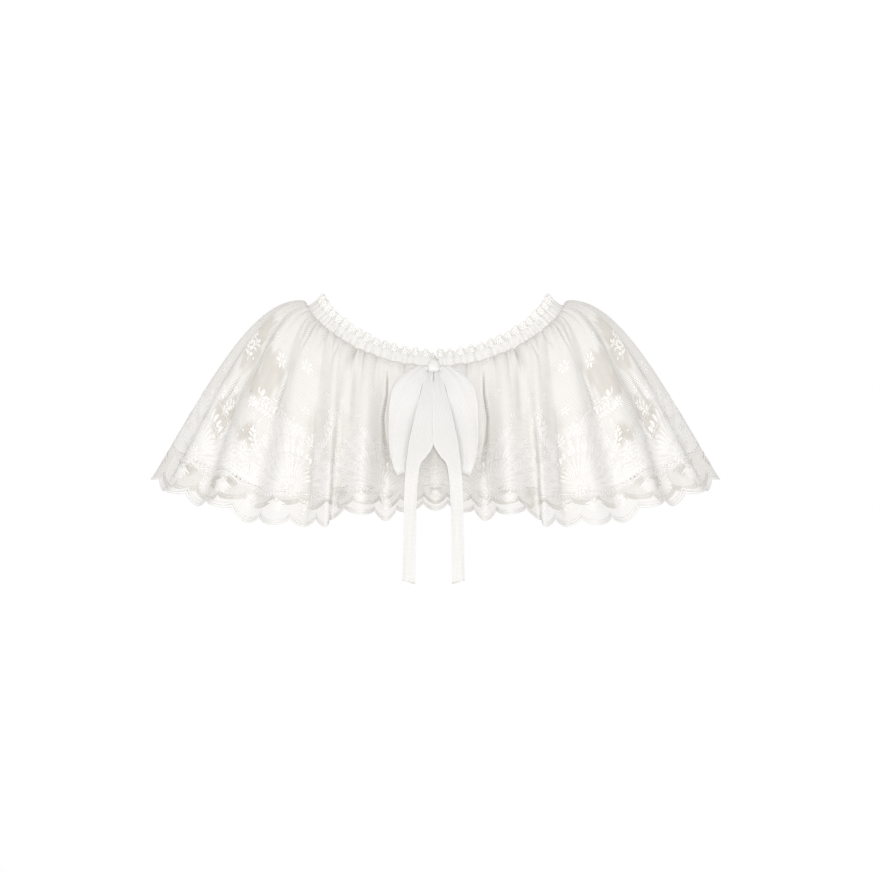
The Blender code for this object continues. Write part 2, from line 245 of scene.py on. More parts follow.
def cottonNet():    # hexagonal net: soft, see-through, with slightly uneven threads
    look = netLook
    made, tree, shader = newFinish("cottonBobbinNet", look)
    cloth, fill, thin, paintedOpenNetShade, crease, ribs = readCloth(tree, "fill", "thin", "paintedOpenNetShade", "crease", "ribs")
    sides = [(math.cos(a), math.sin(a)) for a in (math.pi / 2, math.pi / 6, -math.pi / 6)]
    cells = wavesOver(tree, cloth, look["mesh"] * math.sqrt(3) / 2, sides)    # 3 mid-cell, -1.5 on a thread
    inCell = addNode(tree, "ShaderNodeMapRange", (cells, -0.5, 0.9, 0.0, 1.0))
    hatch = addNode(tree, "ShaderNodeMath", (ribs,), operation="COSINE")
    hatch = addNode(tree, "ShaderNodeMapRange", (hatch, -0.5, 0.7, 0.35, 1.0))
    fill = addNode(tree, "ShaderNodeMath", (fill, hatch), operation="MULTIPLY")
    speckle = addNode(tree, "ShaderNodeTexNoise", {"Vector": cloth, "Scale": look["speckle"], "Detail": 3.0})
    uneven = addNode(tree, "ShaderNodeMapRange", (speckle, 0.3, 0.7, 0.92, 1.08))
    cover = addNode(tree, "ShaderNodeMix", {0: fill, 2: look["hole"], 3: look["filled"]})
    cover = addNode(tree, "ShaderNodeMix", {0: thin, 2: cover, 3: look["openHole"]})
    cover = addNode(tree, "ShaderNodeMath", (cover, uneven), operation="MULTIPLY")
    thread = addNode(tree, "ShaderNodeMix", {0: thin, 2: look["thread"], 3: look["openThread"]})
    cover = addNode(tree, "ShaderNodeMix", {0: inCell, 2: thread, 3: cover})
    cover = addNode(tree, "ShaderNodeMath", (cover, eyeletsOf(tree, cloth)), operation="MULTIPLY")
    feed(tree, shader.inputs["Alpha"], cover)
    cloudy = addNode(tree, "ShaderNodeTexNoise", {"Vector": cloth, "Scale": look["cloud"], "Detail": 4.0})
    # the last two layers are painted shade: the inside seen through open net, and the creases and gather
    # valleys
    layers = (cloudy, "colour"), (fill, "darned"), (paintedOpenNetShade, "paintedOpenNetShade"), (crease, "fold")
    colourAndRaise(tree, shader, look, inCell, *layers)
    return made


def eyeletsOf(tree, cloth):    # almost 0 inside the small round holes, 1 elsewhere
    look = netLook
    line, tall = look["eyeletLine"] * mm, look["eyeletHeight"] * mm
    wave = wavesOver(tree, cloth, look["eyelet"], [(1, 0)])
    height = addNode(tree, "ShaderNodeSeparateXYZ", (cloth,)).outputs[1]
    height = addNode(tree, "ShaderNodeMath", (height, line), operation="SUBTRACT")
    height = addNode(tree, "ShaderNodeMath", (height, tall), operation="DIVIDE")
    square = addNode(tree, "ShaderNodeMath", (height, 2.0), operation="POWER")
    inside = addNode(tree, "ShaderNodeMath", (wave, square), operation="SUBTRACT")
    return addNode(tree, "ShaderNodeMapRange", (inside, 0.15, 0.55, 1.0, 0.08))


satinLook = {
    "colour": "#E5E4E2",    # mercerised cotton thread, a little brighter and smoother than the net
    "shade": "#E2DFDB",
    "thread": 0.9,          # stitch spacing, drawn coarser than a real 0.4 mm one so that it shows
    "slant": (0.94, 0.34),  # the stitches cross each leaf a little askew
    "cloud": 60.0,          # brighter and duller spots, over about 17 mm
    "relief": (0.18, 0.12, False),
    "shader": {"Roughness": 0.55, "Sheen Weight": 0.15},
}


def satinEmbroidery():    # close parallel stitches across each leaf, with a soft sheen
    look = satinLook
    made, tree, shader = newFinish("mercerisedSatinStitch", look)
    thread = addNode(tree, "ShaderNodeUVMap", uv_map="cloth")
    ribs = wavesOver(tree, thread, look["thread"], [look["slant"]])
    whole = addNode(tree, "ShaderNodeTexCoord").outputs["Object"]
    cloudy = addNode(tree, "ShaderNodeTexNoise", {"Vector": whole, "Scale": look["cloud"], "Detail": 3.0})
    worn = addNode(tree, "ShaderNodeMapRange", (cloudy, 0.3, 0.7, 0.8, 1.0))
    share = addNode(tree, "ShaderNodeMapRange", (ribs, -1.0, 0.6, 0.25, 1.0))
    share = addNode(tree, "ShaderNodeMath", (share, worn), operation="MULTIPLY")
    colourAndRaise(tree, shader, look, ribs, (share, "colour"))
    return made


casingLook = {
    "colour": "#F0EFEC",    # the same cotton net twice over, so whiter than the single net
    "shade": "#EAE8E4",
    "paintedPuckerShade": "#D2CEC7",    # painted shade in the valleys of the puckers along both seams
    "mesh": 1.5,            # two layers of net over each other, so finer to the eye
    "cover": 0.81,          # how much the gaps between the crossed threads cover
    "relief": (0.4, 0.2, False),
    "shader": {"Roughness": 0.85, "Specular IOR Level": 0.2},
}


def doubledNet():    # net folded double: nearly solid, with a faint crossed mesh
    look = casingLook
    made, tree, shader = newFinish("doubledCottonNet", look)
    cloth, tuck = readCloth(tree, "tuck")
    cells = wavesOver(tree, cloth, look["mesh"], [(math.cos(a), math.sin(a)) for a in (0.3, 1.35, 2.4)])
    share = addNode(tree, "ShaderNodeMapRange", (cells, -1.2, 1.6, 1.0, 0.0))
    cover = addNode(tree, "ShaderNodeMapRange", (cells, -1.0, 2.0, 1.0, look["cover"]))
    feed(tree, shader.inputs["Alpha"], cover)
    # the puckers' valleys get painted shade
    colourAndRaise(tree, shader, look, share, (share, "colour"), (tuck, "paintedPuckerShade"))
    return made


ribbonLook = {
    "colour": "#ECEBE9",    # woven polyester organza, crisp, faintly glossy and almost opaque when doubled
    "shade": "#E5E3E0",
    "paintedTailShade": "#D8D7D4",    # painted shade, on the tails
    "yarn": 1.2,            # yarn spacing, drawn coarser than a real 0.3 mm one so that it shows
    "gap": 0.76,            # how much the gaps between the yarns cover
    "yarns": 0.96,          # how much the yarns cover
    "sheer": 0.16,          # how much more see-through the lower part of the loops is
    "relief": (0.25, 0.15, False),
    "shader": {"Roughness": 0.42, "Sheen Weight": 0.25},
}


def organzaRibbon():    # plain weave with a denser selvedge on both edges
    look = ribbonLook
    made, tree, shader = newFinish("wovenOrganzaRibbon", look)
    cloth, selvedge, paintedTailShade, sheer = readCloth(tree, "selvedge", "paintedTailShade", "sheer")
    weave = wavesOver(tree, cloth, look["yarn"], [(1, 0), (0, 1)])
    share = addNode(tree, "ShaderNodeMapRange", (weave, -1.4, 1.4, 0.35, 1.0))
    share = addNode(tree, "ShaderNodeMath", (share, selvedge), operation="MAXIMUM")
    cover = addNode(tree, "ShaderNodeMapRange", (share, 0.3, 1.0, look["gap"], look["yarns"]))
    less = addNode(tree, "ShaderNodeMath", (sheer, look["sheer"]), operation="MULTIPLY")
    cover = addNode(tree, "ShaderNodeMath", (cover, less), operation="SUBTRACT")
    feed(tree, shader.inputs["Alpha"], cover)
    # the tails get painted shade
    colourAndRaise(tree, shader, look, weave, (share, "colour"), (paintedTailShade, "paintedTailShade"))
    return made


edgingLook = {
    "colour": "#F1EFEB",
    "cell": 2.6,            # needle-run cells of the narrow edging, drawn a little coarser than they are
    "bars": ((0.86, 0.5), (0.86, -0.5)),
    "thread": 0.9,          # how much the bars and the cells cover
    "hole": 0.35,
    "shader": {"Roughness": 0.85, "Specular IOR Level": 0.2},
}


def cottonEdging():    # narrow needle-run edging: open cells between bars
    look = edgingLook
    made, tree, shader = newFinish("needleRunEdging", look)
    cloth = addNode(tree, "ShaderNodeUVMap", uv_map="cloth")
    cells = wavesOver(tree, cloth, look["cell"], look["bars"])
    cover = addNode(tree, "ShaderNodeMapRange", (cells, 0.2, 1.2, look["thread"], look["hole"]))
    feed(tree, shader.inputs["Alpha"], cover)
    shader.inputs["Base Color"].default_value = linearColour(look["colour"])
    return made


net, satin, doubled = cottonNet(), satinEmbroidery(), doubledNet()
organza, edging = organzaRibbon(), cottonEdging()
print("finishes made")


# How the lace hangs: a gathered strip that leaves the neck seam, rounds the shoulders and falls

cut = {
    "scallops": 52,
    "sideSeam": 13,
    "backMiddle": 26,
    "scallopWidth": 34.0,
    "scallopDepth": 8.0,
    "scallopShape": 0.65,
    "scallopStart": 0.86,    # where the lengthening towards the scallops begins, down the cloth
    "depth": 240.0,          # neck to the notches of the hem, along the cloth
}
scallops, sideSeam, back, wide = cut["scallops"], cut["sideSeam"], cut["backMiddle"], cut["scallopWidth"]
neckOval = {"halfWidth": 129.0, "front": 90.0, "back": 86.0}
neckDip = {"front": 58.0, "back": 60.0, "shape": 1.7}
hemOval = {"halfWidth": 276.0, "front": 157.0, "back": 150.0}
upward = np.array([0.0, 0.0, 1.0])
folds = (    # for each scallop from the middle to the side: neck and hem angle, hem height front and
    # back, and how far the fold stands out front and back
    (0.0, 0.0, -187, -187, -12, -9),
    (10.0, 5.0, -193, -189, 12, 10),
    (20.0, 10.3, -195, -190, -19, -11),
    (28.5, 14.6, -196, -192, 12, 9),
    (36.5, 21.4, -195, -191, -12, -10),
    (45.0, 21.6, -209, -194, 13, 11),
    (53.0, 27.8, -202, -192, -9, -9),
    (60.5, 33.8, -207, -193, 8, 8),
    (67.0, 42.0, -199, -190, -7, -8),
    (73.0, 49.5, -189, -187, 7, 8),
    (78.0, 57.8, -184, -183, -7, -6),
    (82.3, 67.3, -177, -177, 6, 6),
    (86.3, 78.0, -171, -171, -5, -5),
    (90.0, 90.0, -165, -165, 5, 5),
)
fall = {    # angle above level and reach on leaving the neck, angle below level and reach on arriving
    "middle": (-40.0, 42.0, 77.0, 55.0),
    "side": (24.0, 54.0, 59.0, 96.0),
}
gathers = {
    "perFold": 3,
    "share": 0.16,        # height of a gather, as a share of the room it has
    "end": 0.5,           # how far down the gathers fade out
    "fineEnd": 0.3,       # and where the finer set between them does
    "firstRow": 0.045,
    "puff": 4.5,
    "puffDown": 0.08,
}
shoulder = {"rise": 4.5, "down": 0.02, "more": 0.3}    # how far the gathers spring up beside the band
creases = (    # each crease is rows of down, place, half width in scallops and depth
    ((0.11, 2.08, 0.03, 0), (0.18, 2.08, 0.035, 5), (0.3, 2.1, 0.04, 6.5), (0.46, 2.25, 0.05, 6.5)),
    ((0.46, 2.25, 0.05, 6.5), (0.58, 2.18, 0.08, 6), (0.7, 2.02, 0.14, 5), (0.86, 1.9, 0.22, 0)),
    ((0.45, 0, 0.8, 0), (0.58, 0, 0.9, -6), (0.82, 0, 0.9, -6), (0.97, 0, 0.8, 0)),    # a soft swell
    ((0.02, 6.95, 0.06, 0), (0.07, 6.9, 0.07, 4.4), (0.18, 6.95, 0.07, 5.2), (0.3, 7.2, 0.08, 0)),
    ((0.02, 7.6, 0.07, 0), (0.07, 7.55, 0.09, 2.8), (0.18, 7.45, 0.1, 2.4), (0.24, 7.4, 0.1, 0)),
    ((0.03, 6, 0.08, 0), (0.1, 6.05, 0.1, 2.2), (0.17, 6.2, 0.1, 2), (0.25, 6.4, 0.12, 0)),
    ((0.05, 4.9, 0.08, 0), (0.12, 4.98, 0.1, 2.2), (0.18, 5.15, 0.1, 2), (0.25, 5.4, 0.12, 0)),
    ((0, 4, 0.14, 0.5), (0.06, 4.02, 0.2, 3.6), (0.16, 4.12, 0.2, 3.4), (0.27, 4.28, 0.16, 0)),
    ((0, 3.62, 0.07, 0.8), (0.06, 3.58, 0.09, 2.6), (0.12, 3.52, 0.09, 2.2), (0.19, 3.5, 0.1, 0)),
    ((0, 1.5, 0.07, 0.5), (0.08, 1.5, 0.09, 2), (0.18, 1.5, 0.1, 0)),
    ((0.42, 7.6, 0.07, 0), (0.47, 7.7, 0.08, 6.4), (0.54, 7.8, 0.09, 6.8), (0.62, 7.96, 0.07, 0)),
    ((0.53, 10.55, 0.08, 0), (0.58, 10.6, 0.08, 4.4), (0.62, 10.65, 0.08, 4), (0.67, 10.75, 0.08, 0)),
    ((0.42, 9.9, 0.45, 0), (0.58, 9.8, 0.5, -5), (0.8, 9.7, 0.5, -5), (0.95, 9.7, 0.5, 0)),
    (
        (0.48, 6.12, 0.16, 0), (0.56, 6.11, 0.18, 2.6), (0.75, 6.05, 0.2, 4.6), (0.93, 6, 0.22, 4.2),
        (1, 6, 0.24, 3),
    ),
    ((0.35, 4.1, 0.5, 0), (0.55, 4.1, 0.5, -5), (0.82, 4.1, 0.5, -5), (0.94, 4.1, 0.5, 0)),
    ((0.2, 3.78, 0.14, 0), (0.3, 3.74, 0.18, 2), (0.48, 3.65, 0.18, 2), (0.6, 3.6, 0.16, 0)),
    ((0.16, 11.6, 0.12, 0), (0.24, 11.5, 0.18, 2.4), (0.4, 11.3, 0.2, 2.2), (0.55, 11.2, 0.16, 0)),
    # the back
    ((0.05, 24, 0.09, 0.5), (0.2, 24.05, 0.12, 3.5), (0.5, 24.1, 0.18, 5), (0.85, 24, 0.24, 0)),
    ((0.02, 22.5, 0.08, 0.5), (0.12, 22.4, 0.1, 2.8), (0.26, 22.1, 0.12, 0)),
    ((0.02, 20.9, 0.08, 0.5), (0.12, 21, 0.1, 2.6), (0.24, 21.2, 0.12, 0)),
    ((0.02, 18.6, 0.08, 0.5), (0.12, 18.7, 0.11, 3), (0.28, 19, 0.12, 0)),
    ((0.42, 18.3, 0.08, 0), (0.5, 18.05, 0.12, 3.6), (0.58, 17.8, 0.09, 0)),
    ((0.03, 16.4, 0.1, 0.5), (0.14, 16.5, 0.12, 2.8), (0.3, 16.7, 0.12, 0)),
    ((0.4, 20, 0.14, 0), (0.6, 20.02, 0.2, 3), (0.9, 20, 0.24, 0)),
    ((0.2, 14.6, 0.12, 0), (0.34, 14.6, 0.18, 2.4), (0.56, 14.7, 0.16, 0)),
)


def foldTables():    # neck angle, hem angle, hem height and fold out at each scallop from -1 to 28
    tables = {"neck": [], "hem": [], "z": [], "out": []}
    for index in range(-1, back + 3):
        near = abs(index) if index <= back else 2 * back - index
        front = near <= sideSeam
        row = folds[near if front else back - near]
        for column, label in enumerate(("neck", "hem")):
            value = row[column] if front else 180.0 - row[column]
            if index < 0:
                value = -value
            if index > back:
                value = 360.0 - value
            tables[label].append(value)
        tables["z"].append(row[2 if front else 3])
        tables["out"].append(row[4 if front else 5])
    return {label: np.array(values, float) for label, values in tables.items()}


foldTable = foldTables()


def foldAt(kind, half):
    index = np.clip(np.floor(half).astype(int), 0, back - 1)
    near = [foldTable[kind][index + 1 + step] for step in (-1, 0, 1, 2)]
    return curveThrough(*near, half - index)


def ovalAt(degrees, halfWidth, front, back):    # points and level outward directions
    turn = np.radians(degrees)
    depth = np.where(np.cos(turn) > 0, front, back)
    flat = np.zeros_like(turn)
    point = np.stack([halfWidth * np.sin(turn), -depth * np.cos(turn), flat], axis=-1)
    outward = np.stack([np.sin(turn) / halfWidth, -np.cos(turn) / depth, flat], axis=-1)
    return point, unit(outward)


def neckAt(degrees):
    point, outward = ovalAt(degrees, **neckOval)
    lean = np.cos(np.radians(degrees))
    dip = np.where(lean > 0, neckDip["front"], neckDip["back"])
    point[..., 2] = -dip * np.abs(lean) ** neckDip["shape"]
    return point, outward


def fallOf(half):    # the four control points of each column's fall
    neckTurn, hemTurn = foldAt("neck", half), foldAt("hem", half)
    top, _ = neckAt(neckTurn)
    hem, _ = ovalAt(hemTurn, **hemOval)
    hem[..., 2] = foldAt("z", half)
    away = unit((hem - top) * (1, 1, 0))
    side = (np.sin(np.radians((neckTurn + hemTurn) / 2)) ** 2)[..., None]
    settings = mix(np.array(fall["middle"]), np.array(fall["side"]), side)
    leave, leaveReach, arrive, arriveReach = np.moveaxis(settings, -1, 0)[..., None]
    leave, arrive = np.radians(leave), np.radians(arrive)
    first = top + (away * np.cos(leave) + upward * np.sin(leave)) * leaveReach
    last = hem - (away * np.cos(arrive) - upward * np.sin(arrive)) * arriveReach
    return top, first, last, hem


def halfOf(place):    # the same place counted from the front, whichever side it is on
    return np.abs((place + back) % scallops - back)


def scallopLength(place):
    return cut["scallopDepth"] * np.abs(np.cos(np.pi * place)) ** cut["scallopShape"]


def gatherHeight(half, down, fine):
    step = 0.25
    a, _ = neckAt(foldAt("neck", np.maximum(half - step, 0.0)))
    b, _ = neckAt(foldAt("neck", np.minimum(half + step, back)))
    room = np.linalg.norm(b - a, axis=-1) / (step * gathers["perFold"])
    fade = np.maximum(0.0, 1.0 - down / gathers["end"]) ** 1.5
    swell = 0.25 + 0.75 * np.minimum(1.0, down / gathers["firstRow"])
    uneven = 0.8 + 0.3 * np.sin(2.3 * half)
    turn = np.pi * gathers["perFold"] * half
    wave = -np.cos(turn)
    if fine:    # sharper valleys than ridges, and a second, finer set close to the seam
        wave = 2.1 * np.abs(np.sin(turn / 2)) ** 0.75 - 1.3
        finer = np.abs(np.sin(turn * 1.37 + 0.8 * np.sin(1.9 * half) + 0.6)) - 0.6
        nearSeam = np.maximum(0.0, 1.0 - down / gathers["fineEnd"])
        wave = wave + 0.6 * finer * nearSeam * (0.7 + 0.4 * np.sin(3.1 * half + 1.0))
    return wave * gathers["share"] * room * fade * swell * uneven


def creaseDepth(half, down):
    total = np.zeros_like(half)
    for crease in creases:
        stops, *columns = np.array(crease).T
        centre, width, depth = (np.interp(down, stops, column) for column in columns)
        depth = np.where((down < stops[0]) | (down > stops[-1]), 0.0, depth)
        reach = ((half - centre) / width) ** 2
        total -= depth * (np.exp(-reach) - 0.3 * np.exp(-reach / 5))    # cloth pushed up beside the crease
    return total


def layLace(place, down, extra=0.0, fine=True):    # points in mm for arrays of place and down
    half = halfOf(place)
    top, first, last, hem = fallOf(half)
    d, up = down[..., None], (1.0 - down)[..., None]
    point = top * up**3 + first * 3 * up * up * d + last * 3 * up * d * d + hem * d**3
    along = unit((first - top) * up * up + (last - first) * 2 * up * d + (hem - last) * d * d)
    turn = mix(foldAt("neck", half), foldAt("hem", half), down)
    _, outward = ovalAt(turn, *[mix(neckOval[label], hemOval[label], down) for label in hemOval])
    out = np.sum(outward * along, axis=-1, keepdims=True) * upward - outward * along[..., 2:]
    growth = 1.5 * down / (1.0 + 0.5 * down)    # the folds deepen down the cloth
    puff = gathers["puff"] * down / gathers["puffDown"] * np.exp(1.0 - down / gathers["puffDown"])
    height = foldAt("out", half) * growth + gatherHeight(half, down, fine) + puff
    near = down / shoulder["down"]
    side = np.abs(np.sin(np.radians(turn))) ** 6
    height = height + (shoulder["rise"] + fine * shoulder["more"]) * side * (near * np.exp(1.0 - near)) ** 0.8
    if fine:
        height = height + creaseDepth(half, down)
    ease = np.clip((down - cut["scallopStart"]) / (1 - cut["scallopStart"]), 0.0, 1.0)
    point = point + unit(out) * height[..., None] + along * (scallopLength(half) * ease + extra)[..., None]
    point[..., 0] *= np.where((place + back) % scallops < back, -1.0, 1.0)
    return point


def flatOf(place, down, extra=0.0):    # where a point of the lace lies on the cut, in mm
    ease = np.clip((down - cut["scallopStart"]) / (1 - cut["scallopStart"]), 0.0, 1.0)
    return np.stack([place * wide, -(down * cut["depth"] + scallopLength(place) * ease + extra)], axis=-1)


fan = {    # the tall fans of the border: places of their valleys and how far down they begin and end
    "firstValley": 4.4,
    "period": 4.32,
    "peakShare": 0.64,
    "valleyDown": 0.765,
    "peakDown": 0.585,
    "foot": 0.875,
    "lean": 0.24,         # the fans lean towards the sides of the collar
    "reach": 66,          # how far the darning fans out from each foot
    "ribTurns": 30,
    "ribSpacing": 3.8,    # level darning between the fans
}
fanFoot = -fan["foot"] * cut["depth"]
scallopWork = {
    "line": -228.0,           # middle of the motif in each scallop, on the cut
    "ground": (9.5, 8.5),     # half width and half height of the cloth kept whole round it
    "top": 217.0,
    "rim": 4.6,
    "rimWork": 3.6,
}
flounce = {
    "columns": 24,          # to a scallop
    "finer": (1.75, 2.5),   # places beside the sharpest crease, with three times the columns
    "topRows": 20,
    "rows": 38,
    "hemRows": 14,
    "topEnd": 0.2,
    "hemStart": 0.86,
}


def fanTop(place):    # how far down the embroidered border begins, peak by peak
    share = ((halfOf(place) - fan["firstValley"]) / fan["period"]) % 1.0
    rise = np.where(share < fan["peakShare"], share / fan["peakShare"], (1 - share) / (1 - fan["peakShare"]))
    return mix(fan["valleyDown"], fan["peakDown"], smooth(rise, 0.0, 1.0))


def flounceGrid(start, end, extraRows=()):
    downs = np.concatenate([
        np.linspace(0, flounce["topEnd"], flounce["topRows"], endpoint=False),
        np.linspace(flounce["topEnd"], flounce["hemStart"], flounce["rows"], endpoint=False),
        np.linspace(flounce["hemStart"], 1.0, flounce["hemRows"]),
        np.ones(len(extraRows)),
    ])
    extra = np.concatenate([np.zeros(len(downs) - len(extraRows)), extraRows])
    columns = flounce["columns"]
    low, high = (round(edge * columns) * 3 for edge in flounce["finer"])
    between = np.arange(low, high) / (3 * columns)
    places = np.linspace(start, end, (end - start) * columns + 1)
    places = np.unique(np.round(np.concatenate([places, between, -between]), 6))
    place, down = np.meshgrid(places, downs, indexing="ij")
    return place, down, np.broadcast_to(extra, place.shape)


windows = (    # patches left as plain open net, tinted with painted shade: place, down, half width and half height
    (10.6, 0.32, 0.5, 0.1),
    (10.45, 0.45, 0.44, 0.08),
    (8.6, 0.46, 0.68, 0.1),
    (9, 0.54, 0.75, 0.055),
    (10.4, 0.7, 0.42, 0.08),
    (8.75, 0.73, 0.34, 0.04),
    (3.9, 0.1, 0.16, 0.06),
    (16.2, 0.36, 0.6, 0.1),
)


def openNet(half, down):
    total = np.zeros_like(half)
    for place, low, broad, tall in windows:
        ragged = 0.26 * np.sin(9 * half + 31 * down) + 0.2 * np.sin(17 * half - 47 * down + place)
        far = ((half - place) / broad) ** 2 + ((down - low) / tall) ** 2 + ragged
        total = np.maximum(total, 0.95 * (1 - smooth(far, 0.3, 1.3)))
    return total


def scallopGround(x, y):    # darned and open parts of the scallops, from the flat position
    place = x / wide
    across = (place - np.round(place)) * wide
    toRim = y + cut["depth"] + scallopLength(place)
    spot = np.hypot(across / scallopWork["ground"][0], (y - scallopWork["line"]) / scallopWork["ground"][1])
    inside = smooth(-y, scallopWork["top"], scallopWork["top"] + 2)
    uneven = 0.74 + 0.26 * np.sin(2.6 * np.round(place) + 0.7)    # no two scallops are quite as open
    bare = inside * smooth(toRim, scallopWork["rim"], scallopWork["rim"] + 1.4) * smooth(spot, 0.72, 0.92)
    rimWork = 1 - smooth(toRim, scallopWork["rimWork"], scallopWork["rimWork"] + 1.8)
    return inside * np.maximum(rimWork, 0.25 * (1 - smooth(spot, 0.6, 0.8))), bare * uneven


def ribTurns(x, y):    # the border's darning lines fan out from the foot of each palmette
    half = np.abs((x + back * wide) % (scallops * wide) - back * wide)
    width = fan["period"] * wide
    across = (half - fan["firstValley"] * wide + width) % width - width / 2
    rise = y - fanFoot
    fanned = np.arctan2(rise, across) * fan["ribTurns"]
    level = 2 * np.pi * y / fan["ribSpacing"] + 0.9 * np.sin(across / 9)
    return np.where(np.hypot(across, rise) < fan["reach"], fanned, level)


def laceFacts(place, down, x, y):    # what the net's finish reads at each point
    half = np.abs(place)
    fill = smooth(down - fanTop(place), -0.02, 0.03) * (1 - smooth(-y, 210.5, 212.5))
    filled, bare = scallopGround(x, y)
    window = openNet(half, down)
    # painted shade: the valleys of the gathers near the seam and the creases below are coloured darker
    valley = np.clip(-gatherHeight(half, down, True) / 3.0 - 0.25, 0.0, 0.35)
    valley *= smooth(down, 0.01, 0.07) * (1 - smooth(down, 0.1, 0.35))
    crease = np.clip(-creaseDepth(half, down) / 6.5, 0.0, 1.0) ** 1.4
    facts = {
        "fill": np.maximum(fill, filled),
        "thin": np.maximum(bare, 0.3 * window),
        # painted shade where the net is open: the windows and the scallops' crescents
        "paintedOpenNetShade": np.maximum(window, 0.7 * bare),
        "crease": np.maximum(crease, valley),
        "ribs": ribTurns(x, y),
    }
    return {label: values.ravel() for label, values in facts.items()}


def makeFlounce():
    place, down, _ = flounceGrid(-back, back)
    place, down = place[:-1], down[:-1]    # the last column is the first again
    grid, uv = layLace(place, down), flatOf(place, down)
    columns, rows = grid.shape[:2]
    faces = gridFaces(columns, rows, closed=True)
    corners = uv.reshape(-1, 2)[faces]
    last = faces[:, 2] // rows == 0    # faces that close the ring
    corners[last, 2:, 0] += scallops * wide
    facts = laceFacts(place, down, uv[..., 0], uv[..., 1])
    return makePiece("laceFlounce", grid.reshape(-1, 3), faces, net, corners.reshape(-1, 2), facts)


def makeGuide(name, grid, uv):    # a hidden copy that the sewing follows, removed afterwards
    facts = {"outward": gridNormals(grid).reshape(-1, 3)}
    return makePiece(name, grid.reshape(-1, 3), gridFaces(*grid.shape[:2]), None, uv.reshape(-1, 2), facts)


laceFlounce = makeFlounce()
guidePlaces = flounceGrid(-back - 2, back + 2, (4.0, 8.0, 12.0))
laceGuide = makeGuide("laceGuide", layLace(*guidePlaces), flatOf(*guidePlaces))
print("flounce laid:", len(laceFlounce.data.polygons), "faces")


# Sewing trees: motifs and cords are drawn flat on the cut and laid on the cloth

def newTree(name, facts, **sockets):    # a tree, what it is given and reads from the mesh, and its result
    tree = bpy.data.node_groups.new(name, "GeometryNodeTree")
    for label, kind in sockets.items():
        tree.interface.new_socket(label, in_out="INPUT", socket_type="NodeSocket" + kind)
    tree.interface.new_socket("Geometry", in_out="OUTPUT", socket_type="NodeSocketGeometry")
    given = {socket.name: socket for socket in tree.nodes.new("NodeGroupInput").outputs}
    for label, kind in facts.items():
        fact = addNode(tree, "GeometryNodeInputNamedAttribute", (label,), data_type=kind)
        given[label] = fact.outputs["Attribute"]
    return tree, given, tree.nodes.new("NodeGroupOutput").inputs[0]


def layOnClothTree():    # moves flat geometry onto the cloth, its height becoming height above it
    facts = {"cloth": "FLOAT_VECTOR", "outward": "FLOAT_VECTOR"}
    tree, given, result = newTree("layOnCloth", facts, Geometry="Geometry", Cloth="Object", Lift="Float")
    settings = {"Object": given["Cloth"]}
    cloth = addNode(tree, "GeometryNodeObjectInfo", settings, transform_space="ORIGINAL").outputs["Geometry"]
    position = addNode(tree, "GeometryNodeInputPosition")
    height = addNode(tree, "ShaderNodeSeparateXYZ", (position,)).outputs[2]
    sampled = []
    for value in (position, given["outward"]):
        settings = {"Mesh": cloth, "Value": value, "UV Map": given["cloth"], "Sample UV": position}
        sample = addNode(tree, "GeometryNodeSampleUVSurface", settings, data_type="FLOAT_VECTOR")
        sampled.append(sample.outputs["Value"])
    above = addNode(tree, "ShaderNodeMath", (height, given["Lift"]), operation="ADD")
    shift = addNode(tree, "ShaderNodeVectorMath", {0: sampled[1], "Scale": above}, operation="SCALE")
    goal = addNode(tree, "ShaderNodeVectorMath", (sampled[0], shift), operation="ADD")
    moved = addNode(tree, "GeometryNodeSetPosition", {"Geometry": given["Geometry"], "Position": goal})
    feed(tree, result, moved)
    return tree


layOnCloth = layOnClothTree()
sewing = {"Geometry": "Geometry", "Cloth": "Object", "Lift": "Float", "Finish": "Material"}


def layAndFinish(tree, given, result, geometry):
    laid = addNode(tree, "GeometryNodeGroup", (geometry, given["Cloth"], given["Lift"]), node_tree=layOnCloth)
    real = addNode(tree, "GeometryNodeRealizeInstances", {"Geometry": laid})
    finished = addNode(tree, "GeometryNodeSetMaterial", {"Geometry": real, "Material": given["Finish"]})
    feed(tree, result, finished)
    return tree


def sewMotifsTree():    # a motif at each point of a flat layout
    facts = {"turn": "FLOAT", "kind": "FLOAT", "size": "FLOAT_VECTOR"}
    tree, given, result = newTree("sewMotifs", facts, **sewing, Motifs="Collection")
    settings = {"Collection": given["Motifs"], "Separate Children": True, "Reset Children": True}
    motifs = addNode(tree, "GeometryNodeCollectionInfo", settings)
    placed = addNode(tree, "GeometryNodeInstanceOnPoints", {
        "Points": given["Geometry"],
        "Instance": motifs,
        "Pick Instance": True,
        "Instance Index": given["kind"],
        "Rotation": addNode(tree, "ShaderNodeCombineXYZ", {2: given["turn"]}),
        "Scale": given["size"],
    })
    real = addNode(tree, "GeometryNodeRealizeInstances", {"Geometry": placed})
    crisp = addNode(tree, "GeometryNodeSetShadeSmooth", {"Geometry": real, "Shade Smooth": False})
    return layAndFinish(tree, given, result, crisp)


